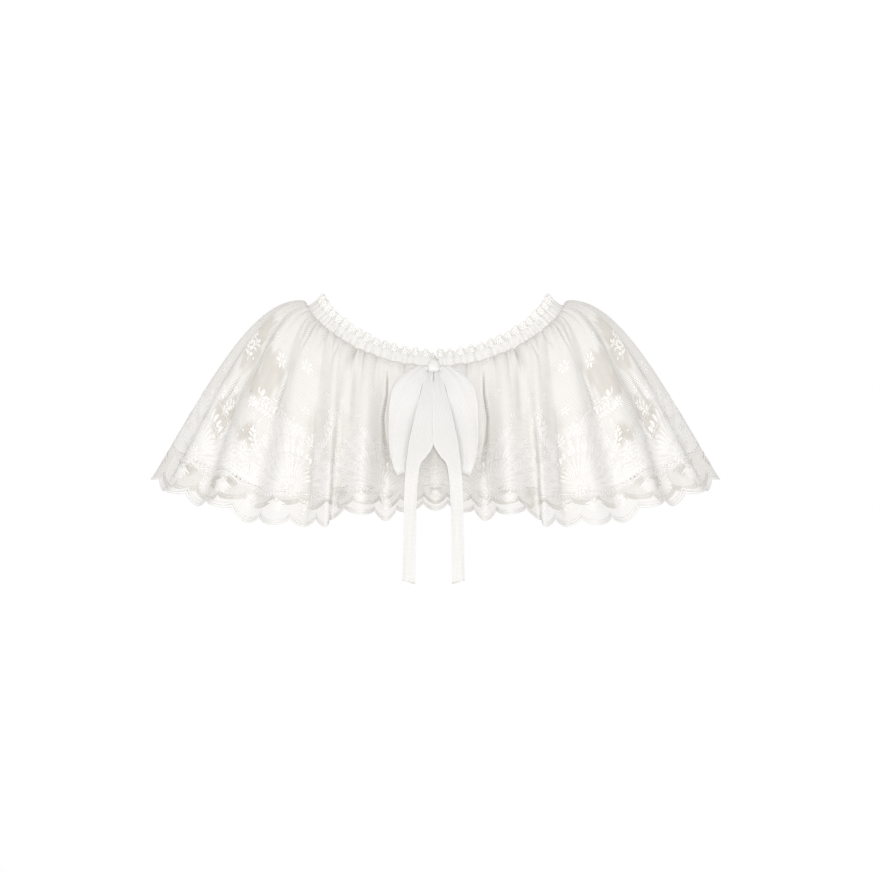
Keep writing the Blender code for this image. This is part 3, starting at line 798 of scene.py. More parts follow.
def sewCordTree():    # a satin-covered cord along flat lines, flattened where it is sewn down
    facts = {"swell": "FLOAT", "alongCord": "FLOAT"}
    tree, given, result = newTree("sewCord", facts, **sewing, Width="Float", Thickness="Float", Sides="Int")
    line = addNode(tree, "GeometryNodeMeshToCurve", {"Mesh": given["Geometry"]})
    line = addNode(tree, "GeometryNodeSetCurveNormal", {"Curve": line}, mode="Z_UP")
    width = addNode(tree, "ShaderNodeMath", (given["swell"], given["Width"]), operation="MULTIPLY")
    half = addNode(tree, "ShaderNodeMath", (width, 0.5), operation="MULTIPLY")
    line = addNode(tree, "GeometryNodeSetCurveRadius", {"Curve": line, "Radius": half})
    run = addNode(tree, "GeometryNodeSplineParameter").outputs["Length"]
    settings = {"Geometry": line, "Name": "alongCord", "Value": run}
    line = addNode(tree, "GeometryNodeStoreNamedAttribute", settings, data_type="FLOAT", domain="POINT")
    settings = {"Resolution": given["Sides"], "Radius": 1.0}
    profile = addNode(tree, "GeometryNodeCurvePrimitiveCircle", settings, mode="RADIUS")
    settings = {"Curve": line, "Profile Curve": profile, "Fill Caps": True, "Scale": half}
    cord = addNode(tree, "GeometryNodeCurveToMesh", settings)
    position = addNode(tree, "GeometryNodeInputPosition")
    flatter = addNode(tree, "ShaderNodeMath", (given["Thickness"], given["Width"]), operation="DIVIDE")
    squash = addNode(tree, "ShaderNodeCombineXYZ", (1.0, 1.0, flatter))
    squashed = addNode(tree, "ShaderNodeVectorMath", (position, squash), operation="MULTIPLY")
    flat = addNode(tree, "GeometryNodeSetPosition", {"Geometry": cord, "Position": squashed})
    pair = addNode(tree, "ShaderNodeCombineXYZ", (given["alongCord"],))
    settings = {"Geometry": flat, "Name": "cloth", "Value": pair}
    mapped = addNode(tree, "GeometryNodeStoreNamedAttribute", settings, data_type="FLOAT2", domain="CORNER")
    return layAndFinish(tree, given, result, mapped)


sewMotifs, sewCord = sewMotifsTree(), sewCordTree()


def runTree(holder, tree, name, **values):    # evaluates a tree once and keeps its result as a plain mesh
    modifier = holder.modifiers.new("sewing", "NODES")
    modifier.node_group = tree
    for item in tree.interface.items_tree:
        if item.in_out == "INPUT" and item.name in values:
            modifier[item.identifier] = values[item.name]
    bpy.context.view_layer.update()
    graph = bpy.context.evaluated_depsgraph_get()
    mesh = bpy.data.meshes.new_from_object(holder.evaluated_get(graph))
    mesh.name = name
    holder.modifiers.remove(modifier)
    bpy.data.objects.remove(holder)
    return showObject(name, mesh)


# Flat motifs of the embroidery, in millimetres, each built of satin-stitched leaves

leafShape = {
    "stations": 4,
    "lift": 0.24,
    "under": 0.3,       # share of the lift that it dips into the cloth
    "fullness": 0.4,    # half of its widest, as a share of the width asked for
}


def satinLeaf(start, end, width, bend=0.0, lift=leafShape["lift"], stations=leafShape["stations"]):
    start, end = np.array(start, float), np.array(end, float)
    run = end - start
    length = np.linalg.norm(run)
    across = np.array([-run[1], run[0]]) / length
    points, threads = [(*start, 0.0)], [(0.0, 0.0)]
    for k in range(stations):    # a closed, domed leaf between the two points
        t = (k + 1) / (stations + 1)
        middle = start + run * t + across * bend * math.sin(math.pi * t)
        half = width * leafShape["fullness"] * math.sin(math.pi * t ** 0.85) ** 0.7
        for side, height in ((-1, 0.0), (0, lift), (1, 0.0), (0, -lift * leafShape["under"])):
            points.append((*(middle + across * half * side), height))
            threads.append((t * length, half * side))
    points.append((*end, 0.0))
    threads.append((length, 0.0))
    faces = []
    for k in range(4):
        after = (k + 1) % 4
        faces.append((0, 1 + k, 1 + after))
        faces.append((len(points) - 1, 1 + 4 * (stations - 1) + after, 1 + 4 * (stations - 1) + k))
        for ring in range(stations - 1):
            a, b = 1 + 4 * ring, 5 + 4 * ring
            faces.append((a + k, b + k, b + after, a + after))
    return points, faces, threads


def satinDot(centre, size, lift=0.3, sides=7):
    points, threads = [(*centre, lift)], [(0.0, 0.0)]
    for k in range(sides):
        turn = 2 * math.pi * k / sides
        x, y = size / 2 * math.cos(turn), size / 2 * math.sin(turn)
        points.append((centre[0] + x, centre[1] + y, 0.0))
        threads.append((x, y))
    points.append((*centre, -lift * 0.4))
    threads.append((0.0, 0.0))
    faces = []
    for k in range(sides):
        after = (k + 1) % sides
        faces += [(0, 1 + k, 1 + after), (sides + 1, 1 + after, 1 + k)]
    return points, faces, threads


def joinShapes(*shapes):
    points, faces, threads = [], [], []
    for shape in shapes:
        base = len(points)
        points += list(shape[0])
        faces += [tuple(base + k for k in face) for face in shape[1]]
        threads += list(shape[2])
    return points, faces, threads


def turnedShape(shape, degrees=0.0, shift=(0.0, 0.0), size=1.0, flip=False):
    points, faces, threads = shape
    c, s = math.cos(math.radians(degrees)), math.sin(math.radians(degrees))
    moved = []
    for x, y, z in points:
        x = -x if flip else x
        moved.append(((x * c - y * s) * size + shift[0], (x * s + y * c) * size + shift[1], z))
    return moved, [face[::-1] for face in faces] if flip else faces, threads


def withMirrored(*shapes):    # the same motifs again, turned over for the other side
    return [*shapes, *[turnedShape(shape, flip=True) for shape in shapes]]


def radial(count, inner, outer, width, offset=0.0):
    shapes = []
    for k in range(count):
        turn = 2 * math.pi * (k + offset) / count
        c, s = math.cos(turn), math.sin(turn)
        shapes.append(satinLeaf((inner * c, inner * s), (outer * c, outer * s), width))
    return joinShapes(*shapes)


def dotsAt(places, size, x=0.0, y=0.0):
    return joinShapes(*[satinDot((x + across, y + rise), size) for across, rise in places])


def plume(path, leafLength, pitch, leafWidth, lean=52.0):    # a stem with leaflets on both sides
    path = spreadRows(path, 12)[:, :2]
    run = runAlong(path)

    def at(place):
        return np.array([np.interp(place, run, path[:, 0]), np.interp(place, run, path[:, 1])])

    shapes = []
    count = max(2, int(run[-1] / pitch))
    for k in range(1, count):
        place, share = run[-1] * k / count, k / count
        x, y = at(place)
        ahead = at(place + 1) - at(place - 1)
        length = leafLength * (0.55 + 0.75 * share) * (1 - share ** 3) + 2.0    # longest about the middle
        for side in (-1, 1):
            turn = math.atan2(ahead[1], ahead[0]) + side * math.radians(lean)
            c, s = math.cos(turn), math.sin(turn)
            ends = (x + 0.9 * c, y + 0.9 * s), (x + length * c, y + length * s)
            shapes.append(satinLeaf(*ends, leafWidth, bend=-side * 0.12 * length))
    for k in range(0, len(path) - 1, 6):    # the stem itself, in short satin runs
        shapes.append(satinLeaf(path[k], path[min(k + 7, len(path) - 1)], 1.3, stations=2))
    tip = unit(path[-1] - path[-2])
    shapes.append(satinLeaf(path[-1] - tip * 2, path[-1] + tip * leafLength * 0.5, leafWidth * 1.1))
    return joinShapes(*shapes)


def ribbedHalfRound(x, y, inner, outer, count, width, low, high):    # leaves spread like a hand of feathers
    shapes = []
    for turn in np.radians(np.linspace(low, high, count)):
        c, s = math.cos(turn), math.sin(turn)
        reach = outer * (0.86 + 0.14 * s ** 2)
        ends = (x + inner * c, y + inner * s), (x + reach * c, y + reach * s)
        shapes.append(satinLeaf(*ends, width, bend=2.2 * c))
    return joinShapes(*shapes)


starFlower = joinShapes(
    radial(6, 1.4, 7.4, 4.0),
    radial(6, 4.6, 8.4, 0.9, offset=0.5),
    satinDot((0, 0), 2.8, 0.35),
)
smallFlower = joinShapes(radial(5, 1.0, 4.8, 3.0), satinDot((0, 0), 1.8, 0.35))
bud = joinShapes(
    satinLeaf((0, -1), (0, 6), 3.4),
    satinLeaf((-0.6, -1.5), (-4.2, 4.4), 2.2, bend=1.0),
    satinLeaf((0.6, -1.5), (4.2, 4.4), 2.2, bend=-1.0),
    satinLeaf((0, -7), (0, -1.5), 1.0, bend=0.6, stations=2),
)
leafSpray = joinShapes(
    plume([(-13, -11), (-7, -3), (1, 3), (9, 7)], 6.4, 4.0, 3.2),
    turnedShape(starFlower, 10, (12.5, 10.0), 0.8),
    plume([(-6, -3), (-9, 4), (-9, 11)], 5.0, 3.8, 2.6),
    turnedShape(smallFlower, 0, (-1, 10), 0.9),
    satinDot((-15, -4), 2.4),
    satinDot((5, -6), 2.2),
    satinDot((10, -1), 2.0),
)
roundSprig = joinShapes(
    radial(8, 2.2, 7.6, 4.2),
    radial(8, 1.6, 4.0, 1.2, offset=0.5),
    satinDot((0, 0), 2.8, 0.35),
)
fernTurns = np.linspace(-math.pi * 0.12, -math.pi * 0.88, 9)
fernInner = [(2.4 * math.cos(a), 7 + 2.4 * math.sin(a)) for a in fernTurns]
fernOuter = [(12.6 * math.cos(a), 7 + 13.2 * math.sin(a)) for a in fernTurns]
fernSprig = joinShapes(*[satinLeaf(*ends, 2.7) for ends in zip(fernInner, fernOuter)], satinDot((0, 7), 3.4))
archSprig = joinShapes(
    turnedShape(smallFlower, 20, (0, 1), 1.25),
    dotsAt([(8.2 * math.cos(a), 7.2 * math.sin(a)) for a in np.linspace(0, 2 * math.pi, 12)[:-1]], 2.3),
    satinLeaf((-9.6, 9), (-3, 5), 2.2),
    satinLeaf((9.6, 9), (3, 5), 2.2),
)
medallion = joinShapes(
    radial(13, 5.2, 11.0, 2.3),
    radial(7, 1.0, 4.4, 1.9),
    turnedShape(bud, 0, (0, 17.5), 0.85),
)

fanHands = (    # centre across and above the foot, inner and outer reach, leaves, their width, angles
    (0, 0, 11, 33, 15, 3.0, 22, 158),
    (0, 0, 35, 46, 13, 4.2, 40, 140),
    (-38, 6, 6, 19, 9, 2.9, 60, 190),
    (36, 8, 6, 21, 10, 2.9, -10, 125),
    (-56, -4, 5, 15, 7, 2.7, 30, 160),
    (56, -3, 5, 16, 7, 2.7, 20, 150),
)
fanPlumes = (    # path above the foot, length, pitch and width of the leaflets
    (((-4, 47), (-1, 56), (5, 64), (14, 70)), 6.5, 3.7, 3.2),
    (((-22, 40), (-27, 49), (-36, 55)), 6.5, 3.7, 3.0),
    (((24, 38), (33, 44), (38, 54)), 6.5, 3.7, 3.0),
    (((-46, 22), (-54, 29), (-62, 30)), 6.0, 3.6, 2.9),
    (((48, 24), (56, 32), (58, 42)), 6.0, 3.6, 2.9),
    (((15, -3), (28, -5), (42, -5)), 4.6, 3.6, 2.6),
    (((-15, -3), (-28, -5), (-42, -5)), 4.6, 3.6, 2.6),
)
fanFlowers = (
    (-12, 58, 1.0), (20, 56, 0.8), (-38, 34, 1.0), (42, 38, 0.85),
    (-64, 14, 0.9), (66, 18, 0.9), (2, 47, 0.6), (-24, 30, 0.5),
)
fanDots = (
    (-30, 44), (-8, 67), (30, 62), (-50, 40), (52, 50), (-70, 30),
    (70, 36), (14, 75), (-20, 22), (22, 24), (-72, 2), (72, 2),
)


def fanShape():    # the tall motif of the border: ribbed half rounds, fronds and flowers crowded together
    hands = [ribbedHalfRound(x, fanFoot + rise, *rest) for x, rise, *rest in fanHands]
    middle = turnedShape(joinShapes(radial(9, 2.6, 9.6, 3.6), satinDot((0, 0), 3.4)), 0, (0, fanFoot + 1))
    plumes = [plume([(x, fanFoot + rise) for x, rise in path], *rest) for path, *rest in fanPlumes]
    flowers = [turnedShape(starFlower, 7 * x, (x, fanFoot + rise), size) for x, rise, size in fanFlowers]
    dots = dotsAt(fanDots, 2.6, y=fanFoot)
    points, faces, threads = joinShapes(*hands[:2], middle, *hands[2:], *plumes, *flowers, dots)
    return [(x + fan["lean"] * (y - fanFoot), y, z) for x, y, z in points], faces, threads


fanMotif = fanShape()
sewnLift = {    # how high each kind of sewing lies above its cloth
    "hemSatinRim": 0.1,
    "borderFronds": 0.08,
    "floralSprigs": 0.12,
    "scallopMotifs": 0.12,
    "casingStitches": 0.08,
    "casingFlowers": 0.1,
    "frillEdge": 0.0,
}


def motifCollection(name, shapes):    # motifs wait in a collection, picked by their order
    group = bpy.data.collections.new(name)
    for k, (points, faces, threads) in enumerate(shapes):
        made = makePiece(f"{name}{k:02d}", points, faces, None, threads)
        bpy.context.scene.collection.objects.unlink(made)
        group.objects.link(made)
    return group


def sewLayout(name, layout, shapes, guide):    # rows are x, y, kind, turn, width and height size
    x, y, kind, turn, across, high = np.array(layout, float).T
    size = np.stack([across, high, np.ones(len(x))], axis=1)
    facts = {"kind": kind, "turn": np.radians(turn), "size": size}
    holder = makePiece(name + "Layout", np.stack([x, y, np.zeros(len(x))], axis=1), [], facts=facts)
    group = motifCollection(name + "Motif", shapes)
    laid = {"Cloth": guide, "Lift": sewnLift[name] * mm, "Finish": satin}
    made = runTree(holder, sewMotifs, name, Motifs=group, **laid)
    for old in list(group.objects):
        bpy.data.objects.remove(old)
    bpy.data.collections.remove(group)
    print(name, "sewn:", len(made.data.polygons), "faces")
    return made


def sewLines(name, lines, guide, cord):    # each line is a row of flat points with their swell
    points, edges, swell = [], [], []
    for line in lines:
        base = len(points)
        points += [(x, y, 0.0) for x, y, _ in line]
        swell += [size for _, _, size in line]
        edges += [(base + k, base + k + 1) for k in range(len(line) - 1)]
    holder = makePiece(name + "Line", points, [], facts={"swell": swell}, edges=edges)
    sizes = {"Width": cord["width"] * mm, "Thickness": cord["thickness"] * mm, "Sides": cord["sides"]}
    laid = {"Cloth": guide, "Lift": sewnLift[name] * mm, "Finish": satin}
    made = runTree(holder, sewCord, name, **sizes, **laid)
    made.data.shade_smooth()
    print(name, "sewn:", len(made.data.polygons), "faces")
    return made


hemRim = {
    "width": 2.4,
    "thickness": 0.9,
    "sides": 6,
    "ribs": 2.6,
    "ribHeight": 0.14,
    "inset": 1.1,
    "second": 4.3,
    "secondSwell": 0.62,
    "stations": 26,    # to a scallop
}
festoon = {"down": 0.905, "rise": 3.4, "swell": 0.75, "stations": 16}
fanCords = (    # centre across and above the foot, reach, first and last angle
    (0, 0, 34.0, 20, 160),
    (0, 0, 49.5, 34, 146),
    (-38, 6, 21.0, 60, 190),
    (36, 8, 23.0, -10, 125),
)
fanCord = {"swell": 0.42, "stations": 60, "wavyBeyond": 40.0, "wave": 1.3, "waves": 9}
fanMiddles = [fan["firstValley"] + (k + 0.5) * fan["period"] for k in range(-1, 5)]


def hemLine(inset, size):
    places = np.linspace(-back, back, scallops * hemRim["stations"] + 1)
    flat = flatOf(places, np.ones_like(places))
    swell = size * (1 + hemRim["ribHeight"] * np.cos(2 * np.pi * places * wide / hemRim["ribs"]))
    return [(x, y + inset, s) for (x, y), s in zip(flat, swell)]


def festoonLine():    # a shallow arch over each scallop
    places = np.linspace(-back, back, scallops * festoon["stations"] + 1)
    arch = np.abs(np.sin(np.pi * (places + 0.5)))
    y = -(festoon["down"] * cut["depth"]) + festoon["rise"] * arch
    return [(x, v, festoon["swell"]) for x, v in zip(places * wide, y)]


def fanLine(middle, side, x, y, reach, low, high):
    line = []
    wave = fanCord["wave"] * (reach > fanCord["wavyBeyond"])
    for turn in np.radians(np.linspace(low, high, fanCord["stations"])):
        far = reach + wave * abs(math.sin(turn * fanCord["waves"]))
        rise = y + far * math.sin(turn)
        across = x + far * math.cos(turn) + fan["lean"] * rise
        line.append((side * (middle * wide + across), fanFoot + rise, fanCord["swell"]))
    return line


def satinLines():    # two cords along the hem, the festoon and fine cords round the tops of the fans
    lines = [hemLine(hemRim["inset"], 1.0), hemLine(hemRim["second"], hemRim["secondSwell"]), festoonLine()]
    for middle in fanMiddles:
        for side in (-1, 1):
            lines += [fanLine(middle, side, *row) for row in fanCords]
    return lines


hemSatinRim = sewLines("hemSatinRim", satinLines(), laceGuide, hemRim)

medallionRise = {"valley": 7, "middle": 12}


def fanLayout():    # a fan and its mirror image on each side, with medallions in the valleys between
    rows = []
    for middle in fanMiddles:
        for side in (-1, 1):
            rows.append((side * middle * wide, 0.0, 0 if side > 0 else 1, 0.0, 1.0, 1.0))
    for k in range(-1, 5):
        valley = fan["firstValley"] + k * fan["period"]
        for side in (-1, 1):
            rows.append((side * valley * wide, fanFoot + medallionRise["valley"], 2, 0.0, 1.0, 1.0))
    rows.append((0.0, fanFoot + medallionRise["middle"], 2, 0.0, 1.0, 1.0))
    rows.append((back * wide, fanFoot + medallionRise["valley"], 2, 0.0, 1.0, 1.0))
    return rows


borderFronds = sewLayout("borderFronds", fanLayout(), [*withMirrored(fanMotif), medallion], laceGuide)

sprigs = (    # place, down, kind, turn and size, for one side of the front
    (6.62, 0.35, 0, 12, 1),
    (8.25, 0.39, 0, 40, 1),
    (11.1, 0.4, 3, 20, 1),
    (8.6, 0.57, 2, 15, 1.2),
    (5.4, 0.45, 2, -10, 0.85),
    (6.4, 0.55, 1, 0, 1),
    (9, 0.3, 2, 30, 0.7),
    (8.3, 0.62, 3, -25, 1.1),
    (5, 0.61, 3, -70, 1.1),
    (4.45, 0.53, 0, 20, 0.9),
    (12.4, 0.73, 3, 10, 1),
    (4.25, 0.43, 1, 0, 0.8),
    (3.3, 0.52, 2, -20, 0.8),
    (10.3, 0.22, 1, 0, 0.8),
    (12.3, 0.55, 0, 0, 1),
    (2.7, 0.34, 1, 0, 0.7),
    (0.9, 0.42, 2, 0, 0.8),
    (1.3, 0.66, 1, -30, 0.9),
    (7.5, 0.22, 1, 0, 0.55),
    (10.4, 0.6, 1, 20, 0.8),
    (12.9, 0.3, 2, 0, 0.8),
    (2.3, 0.045, 1, 0, 0.6),
    (1.9, 0.06, 1, 30, 0.5),
    (5.7, 0.05, 1, 0, 0.55),
    (8.9, 0.045, 1, 0, 0.6),
    (12.1, 0.1, 1, 0, 0.6),
)
sprigBehind = {"across": 0.35, "down": 0.01}    # how far those of the back are shifted
sprigReach = {"place": 0.7, "down": 0.04}       # how far round a sprig the stretch is measured
sprigKinds = withMirrored(starFlower, smallFlower, bud, leafSpray)


def stretchAt(place, down):    # how much wider and longer the laid cloth is than the cut
    reach, drop = sprigReach["place"], sprigReach["down"]
    places = np.array([place - reach, place + reach, place, place])
    downs = np.array([down, down, down - drop, down + drop])
    ends = layLace(places, np.clip(downs, 0, 1), fine=False)
    across = np.linalg.norm(ends[1] - ends[0]) / (2 * reach * wide)
    along = np.linalg.norm(ends[3] - ends[2]) / (2 * drop * cut["depth"])
    return max(across, 0.5), max(along, 0.6)


def sprigLayout():
    rows = []
    for place, down, kind, turn, size in sprigs:
        for side in (-1, 1):
            kindHere = kind if side > 0 else kind + len(sprigKinds) // 2
            for behind in (False, True):
                at = back - place + sprigBehind["across"] if behind else place
                x, y = flatOf(np.array(side * at), np.array(down + behind * sprigBehind["down"]))
                across, along = stretchAt(at, down)
                rows.append((x, y, kindHere, side * turn, size / across, size / along))
    return rows


floralSprigs = sewLayout("floralSprigs", sprigLayout(), sprigKinds, laceGuide)

scallopKinds = withMirrored(roundSprig, fernSprig, archSprig)


def scallopLayout():    # three motifs take turns from scallop to scallop, the same on both sides
    rows = []
    for place in range(-back, scallops - back):
        kind = (0, 1, 2, 1)[abs(place) % 4] + (len(scallopKinds) // 2 if place < 0 else 0)
        rows.append((place * wide, scallopWork["line"], kind, 0.0, 1.0, 1.0))
    return rows


scallopMotifs = sewLayout("scallopMotifs", scallopLayout(), scallopKinds, laceGuide)


# Neck band: the casing with its stitching and the heading frill

band = {
    "lean": 41.0,
    "start": 0.9,
    "tuck": 1.6,          # how far the band reaches down over the gathers
    "tuckWave": 0.7,
    "width": 13.5,
    "mouth": 3.0,
    "columns": 900,
    "pucker": 0.7,
    "fullPucker": 1.7,    # thickness at which a pucker has its full height
    "puckers": ((5, 4.4), (9, 2.7)),    # seed and spacing of the wider and the finer ones
    "bunch": 2.4,         # how far the gathers stand out over the band at the shoulders
    "bunchAt": (2.5, 2.6),
    "threadRise": 2.3,    # spacing of the section's points on the band's own cloth
}
bandSection = (    # height up the band and half its thickness
    (0.0, 0.4), (0.3, 0.5), (1.4, 0.6), (3.4, 0.95), (6.8, 1.15),
    (10.2, 0.95), (12.2, 0.65), (13.2, 0.5), (13.5, 0.4),
)
bandFlowers = (    # angle round the neck, height on the band, turn and size, for one side of the front
    (53, 6.8, 0, 0.68),
    (49.5, 4.2, 25, 0.5),
    (57, 8.4, 40, 0.5),
    (44, 8, 10, 0.45),
    (64, 5, 30, 0.45),
    (46.5, 3.9, 15, 0.4),
    (41, 3.9, 35, 0.42),
    (37, 3.8, 5, 0.38),
    (32.5, 3.9, 28, 0.42),
    (28.5, 3.8, 12, 0.36),
    (25, 3.9, 40, 0.42),
    (21.5, 3.8, 20, 0.38),
    (18, 3.9, 0, 0.4),
    (14.5, 3.8, 33, 0.36),
)
heading = {
    "mouth": 1.5,
    "height": 9.0,
    "waves": 64,
    "rootWave": 0.5,
    "edgeWave": 2.4,
    "finerWave": 0.35,
    "tuck": 1.0,         # how far its root is hidden inside the casing
    "columns": 1600,
    "rows": 9,
    "thickness": 0.3,
    "fullness": 1.3,     # length of the frill before gathering, for one of the seam
    "picot": 5.2,        # spacing of the small points along the edge, before gathering
    "point": 0.9,
    "drifts": 90,        # stretches in which the waves are early or late
}
frillCord = {
    "width": 1.1,
    "thickness": 0.8,
    "sides": 6,
    "step": 0.9,
    "rows": ((0.8, 1.0), (3.6, 0.6)),    # distance below the edge and swell
}


def ringByLength(mouth, count):    # angles evenly spaced along the neck seam
    start = math.degrees(math.asin(mouth / neckOval["halfWidth"]))
    angles = np.linspace(start, 360 - start, 4001)
    run = runAlong(neckAt(angles)[0])
    even = np.linspace(0, run[-1], count + 1)
    return np.interp(even, run, angles), even


def bandGrid(angles, rise, out):    # points that far up the leaning band and out from it
    seam, outward = (part[:, None] for part in neckAt(angles))
    lean = math.radians(band["lean"])
    upBand = -outward * math.cos(lean) + upward * math.sin(lean)
    outBand = outward * math.sin(lean) + upward * math.cos(lean)
    return seam + upBand * rise[..., None] + outBand * out[..., None]


def unevenWaves(run, seed, spacing):    # gathers of irregular width and height, from -1 to 1
    chance = np.random.default_rng(seed)
    stops = np.cumsum(spacing * chance.uniform(0.6, 1.45, int(run[-1] / spacing * 1.6) + 4))
    phase = np.interp(run, np.concatenate([[0], stops]), np.arange(len(stops) + 1) * math.pi)
    height = np.interp(run, stops, chance.uniform(0.45, 1.0, len(stops)))
    return (np.cos(phase) * height)[:, None]


def makeCasing():
    angles, run = ringByLength(band["mouth"], band["columns"])
    section = np.array(bandSection)
    outside = len(section)
    section = np.concatenate([section, section[::-1] * (1, -1), section[:1]])
    height, thick = section.T
    waves, other = (unevenWaves(run, *pair) for pair in band["puckers"])
    pull = 0.35 + 0.65 * (1 - np.sin(np.pi * height / band["width"]))    # hardest at the two seams
    bite = waves * pull + 0.4 * other
    middle, reach = band["bunchAt"]
    bunch = np.abs(np.sin(np.radians(angles)))[:, None] ** 12 * np.exp(-((height - middle) / reach) ** 2)
    puckered = np.sign(thick) * band["pucker"] * bite * (np.abs(thick) / band["fullPucker"]) ** 0.4
    out = thick + puckered + band["bunch"] * bunch * (thick > 0)
    low = 1 - height / band["width"]
    along = band["start"] + height - (band["tuck"] + band["tuckWave"] * other) * low
    grid = bandGrid(angles, along, out)
    columns, rows = grid.shape[:2]
    uv = spread(run[:, None], np.arange(rows) * band["threadRise"])
    faces = [*gridFaces(columns, rows)[:, ::-1]]
    faces.append(tuple(range(rows - 1)))
    faces.append(tuple((columns - 1) * rows + k for k in reversed(range(rows - 1))))
    # painted shade, darker in the valleys of the puckers
    tuck = np.clip(-bite - 0.15, 0.0, 0.8) ** 1.3
    facts = {"tuck": tuck.ravel()}
    made = makePiece("neckCasing", grid.reshape(-1, 3), faces, doubled, uv.reshape(-1, 2), facts)
    front = grid[:, :outside][:, ::-1]
    return made, front, spread(run[:, None], height[:outside][::-1]), run, angles


neckCasing, casingFront, casingFlat, casingRun, casingAngles = makeCasing()
casingGuide = makeGuide("casingGuide", casingFront, casingFlat)

stitch = satinLeaf((-1.0, 0), (1.0, 0), 0.55, lift=0.22, stations=2)
stitchLines = ((1.1, 1.2, 2.0), (12.3, 1.0, 1.0))    # height on the band, width and height of a stitch
stitchPitch = 2.9


def stitchRows():
    rows = []
    chance = random.Random(11)
    for level, broad, tall in stitchLines:
        x = 2.0
        while x < casingRun[-1] - 3:
            rise, turn = chance.uniform(-0.08, 0.08), chance.uniform(-4, 4)
            rows.append((x, level + rise, 0, turn, broad, tall))
            x += stitchPitch
    return rows


def bandFlowerRows():
    rows = []
    for angle, height, turn, size in bandFlowers:
        for side in (-1, 1):
            x = np.interp(side * angle % 360, casingAngles, casingRun)
            rows.append((x, height, 0, side * turn, size, size))
    return rows


casingStitches = sewLayout("casingStitches", stitchRows(), [stitch], casingGuide)
casingFlowers = sewLayout("casingFlowers", bandFlowerRows(), [starFlower], casingGuide)
print("casing made and stitched")


def makeFrill():
    angles, run = ringByLength(heading["mouth"], heading["columns"])
    share = np.append(np.linspace(0, 0.97, heading["rows"] - 1), 1.0)
    turn = 2 * np.pi * heading["waves"] * run / run[-1]
    chance = np.random.default_rng(3)
    early = chance.uniform(-0.5, 0.5, heading["drifts"])
    drift = np.interp(run, np.linspace(0, run[-1], heading["drifts"]), early)
    wave = np.sin(turn + drift * 1.2)[:, None]
    finer = np.sin(2.6 * turn + 3 * drift)[:, None]
    root = band["start"] + band["width"] - heading["tuck"]
    height = heading["height"] * (1 + 0.08 * np.sin(0.37 * turn + 1.0) + 0.05 * np.sin(1.9 * turn))
    point = np.abs(np.sin(np.pi * run * heading["fullness"] / heading["picot"]))
    height = (height + heading["tuck"] + heading["point"] * point - 0.5)[:, None]
    lift = root + height * share * (1 - 0.05 * wave ** 2)
    out = wave * mix(heading["rootWave"], heading["edgeWave"], share ** 0.8)
    out = out + heading["finerWave"] * finer * share
    grid = bandGrid(angles, lift, out)[:, ::-1]    # top row first, so that the outer face looks outwards
    flat = spread(run[:, None] * heading["fullness"], heading["height"] * share[::-1])
    return wallPiece("neckFrill", grid, heading["thickness"], edging, flat), grid, flat


neckFrill, frillGrid, frillFlat = makeFrill()
frillGuide = makeGuide("frillGuide", frillGrid, frillFlat)


def edgeLines():    # the bound edge and a finer cord below it
    x = np.arange(1.0, frillFlat[-1, 0, 0] - 1.0, frillCord["step"])
    return [[(a, heading["height"] - below, swell) for a in x] for below, swell in frillCord["rows"]]


frillEdge = sewLines("frillEdge", edgeLines(), frillGuide, frillCord)
for old in (casingGuide, frillGuide, laceGuide):
    bpy.data.objects.remove(old)
print("frill made")


# The bow: one ribbon, wide and soft in the loops, folded to half its width down the tails

bow = {
    "side": -1.8,
    "cloth": 0.45,
    "selvedge": (1.6, 0.8),    # distance from the edge at which it begins and is full
    "tailSlant": 4.0,
    "tailsOver": 1.5,          # how far the tails' inner edges lie over each other
    "tailAhead": 1.0,
    "loopGrid": (7, 19, 1.6),  # smooth rows to a table row, columns across and crown
    "tailGrid": (8, 13, 0.7),
}
knot = {
    "size": (12.4, 8.6, 12.4),
    "height": -58.8,
    "lean": 38.0,
    "ahead": 4.4,
    "rings": 26,
    "sides": 48,
    "boxy": 0.45,          # 1 would be an ellipsoid, less is squarer
    "pleats": 3,
    "twist": 2.4,
    "pleatDepth": 0.08,
    "fineDepth": 0.02,
    "selvedge": 0.6,
}
loopRows = (    # side, height, distance before the lace, width and tilt, down the front and up behind
    (-9.45, -59.5, 2.9, 8, -66),
    (-13.7, -64, 5.8, 15.5, -52),
    (-20.8, -72.5, 9.3, 22.2, -40),
    (-25.9, -82.5, 10.7, 26.8, -24),
    (-28.6, -95, 11.2, 27.3, -10),
    (-30.7, -111, 11, 24.4, 0),
    (-32.2, -129, 10.4, 21.5, 4),
    (-31.6, -144, 9.6, 19, 7),
    (-29.6, -156, 8.6, 16, 9),
    (-27.6, -160.5, 6.2, 14.5, 9),
    (-25.6, -157, 4.2, 15.5, 6),
    (-22, -147, 3.6, 18, -4),
    (-17.5, -133, 3.6, 19, -12),
    (-13.5, -116, 3.6, 18, -13),
    (-10, -98, 3.8, 15, -12),
    (-7.4, -80, 3.4, 11, -10),
    (-4.6, -68, 1.7, 7, -8),
)
tailRows = (
    (-3.4, -64.35, 2, 5.6, -8),
    (-5.2, -74, 7.6, 9, -10),
    (-6.8, -87, 12, 12.4, -10),
    (-8.8, -102, 15, 16.2, -9),
    (-10.8, -120, 15.6, 20, -8),
    (-12.6, -134, 15.4, 22.6, -8),
    (-15.4, -142, 15.2, 19.4, -7),
    (-18.7, -150, 14.6, 14.2, -6),
    (-20.7, -164, 13, 12.6, -4),
    (-21.8, -181, 9, 12.3, -2),
    (-22.5, -202, 4, 12, 0),
    (-22.8, -223, 4.6, 12, 0),
    (-23.1, -245, 4.2, 12, 0),
    (-23.4, -265, 4.6, 12, 0),
)
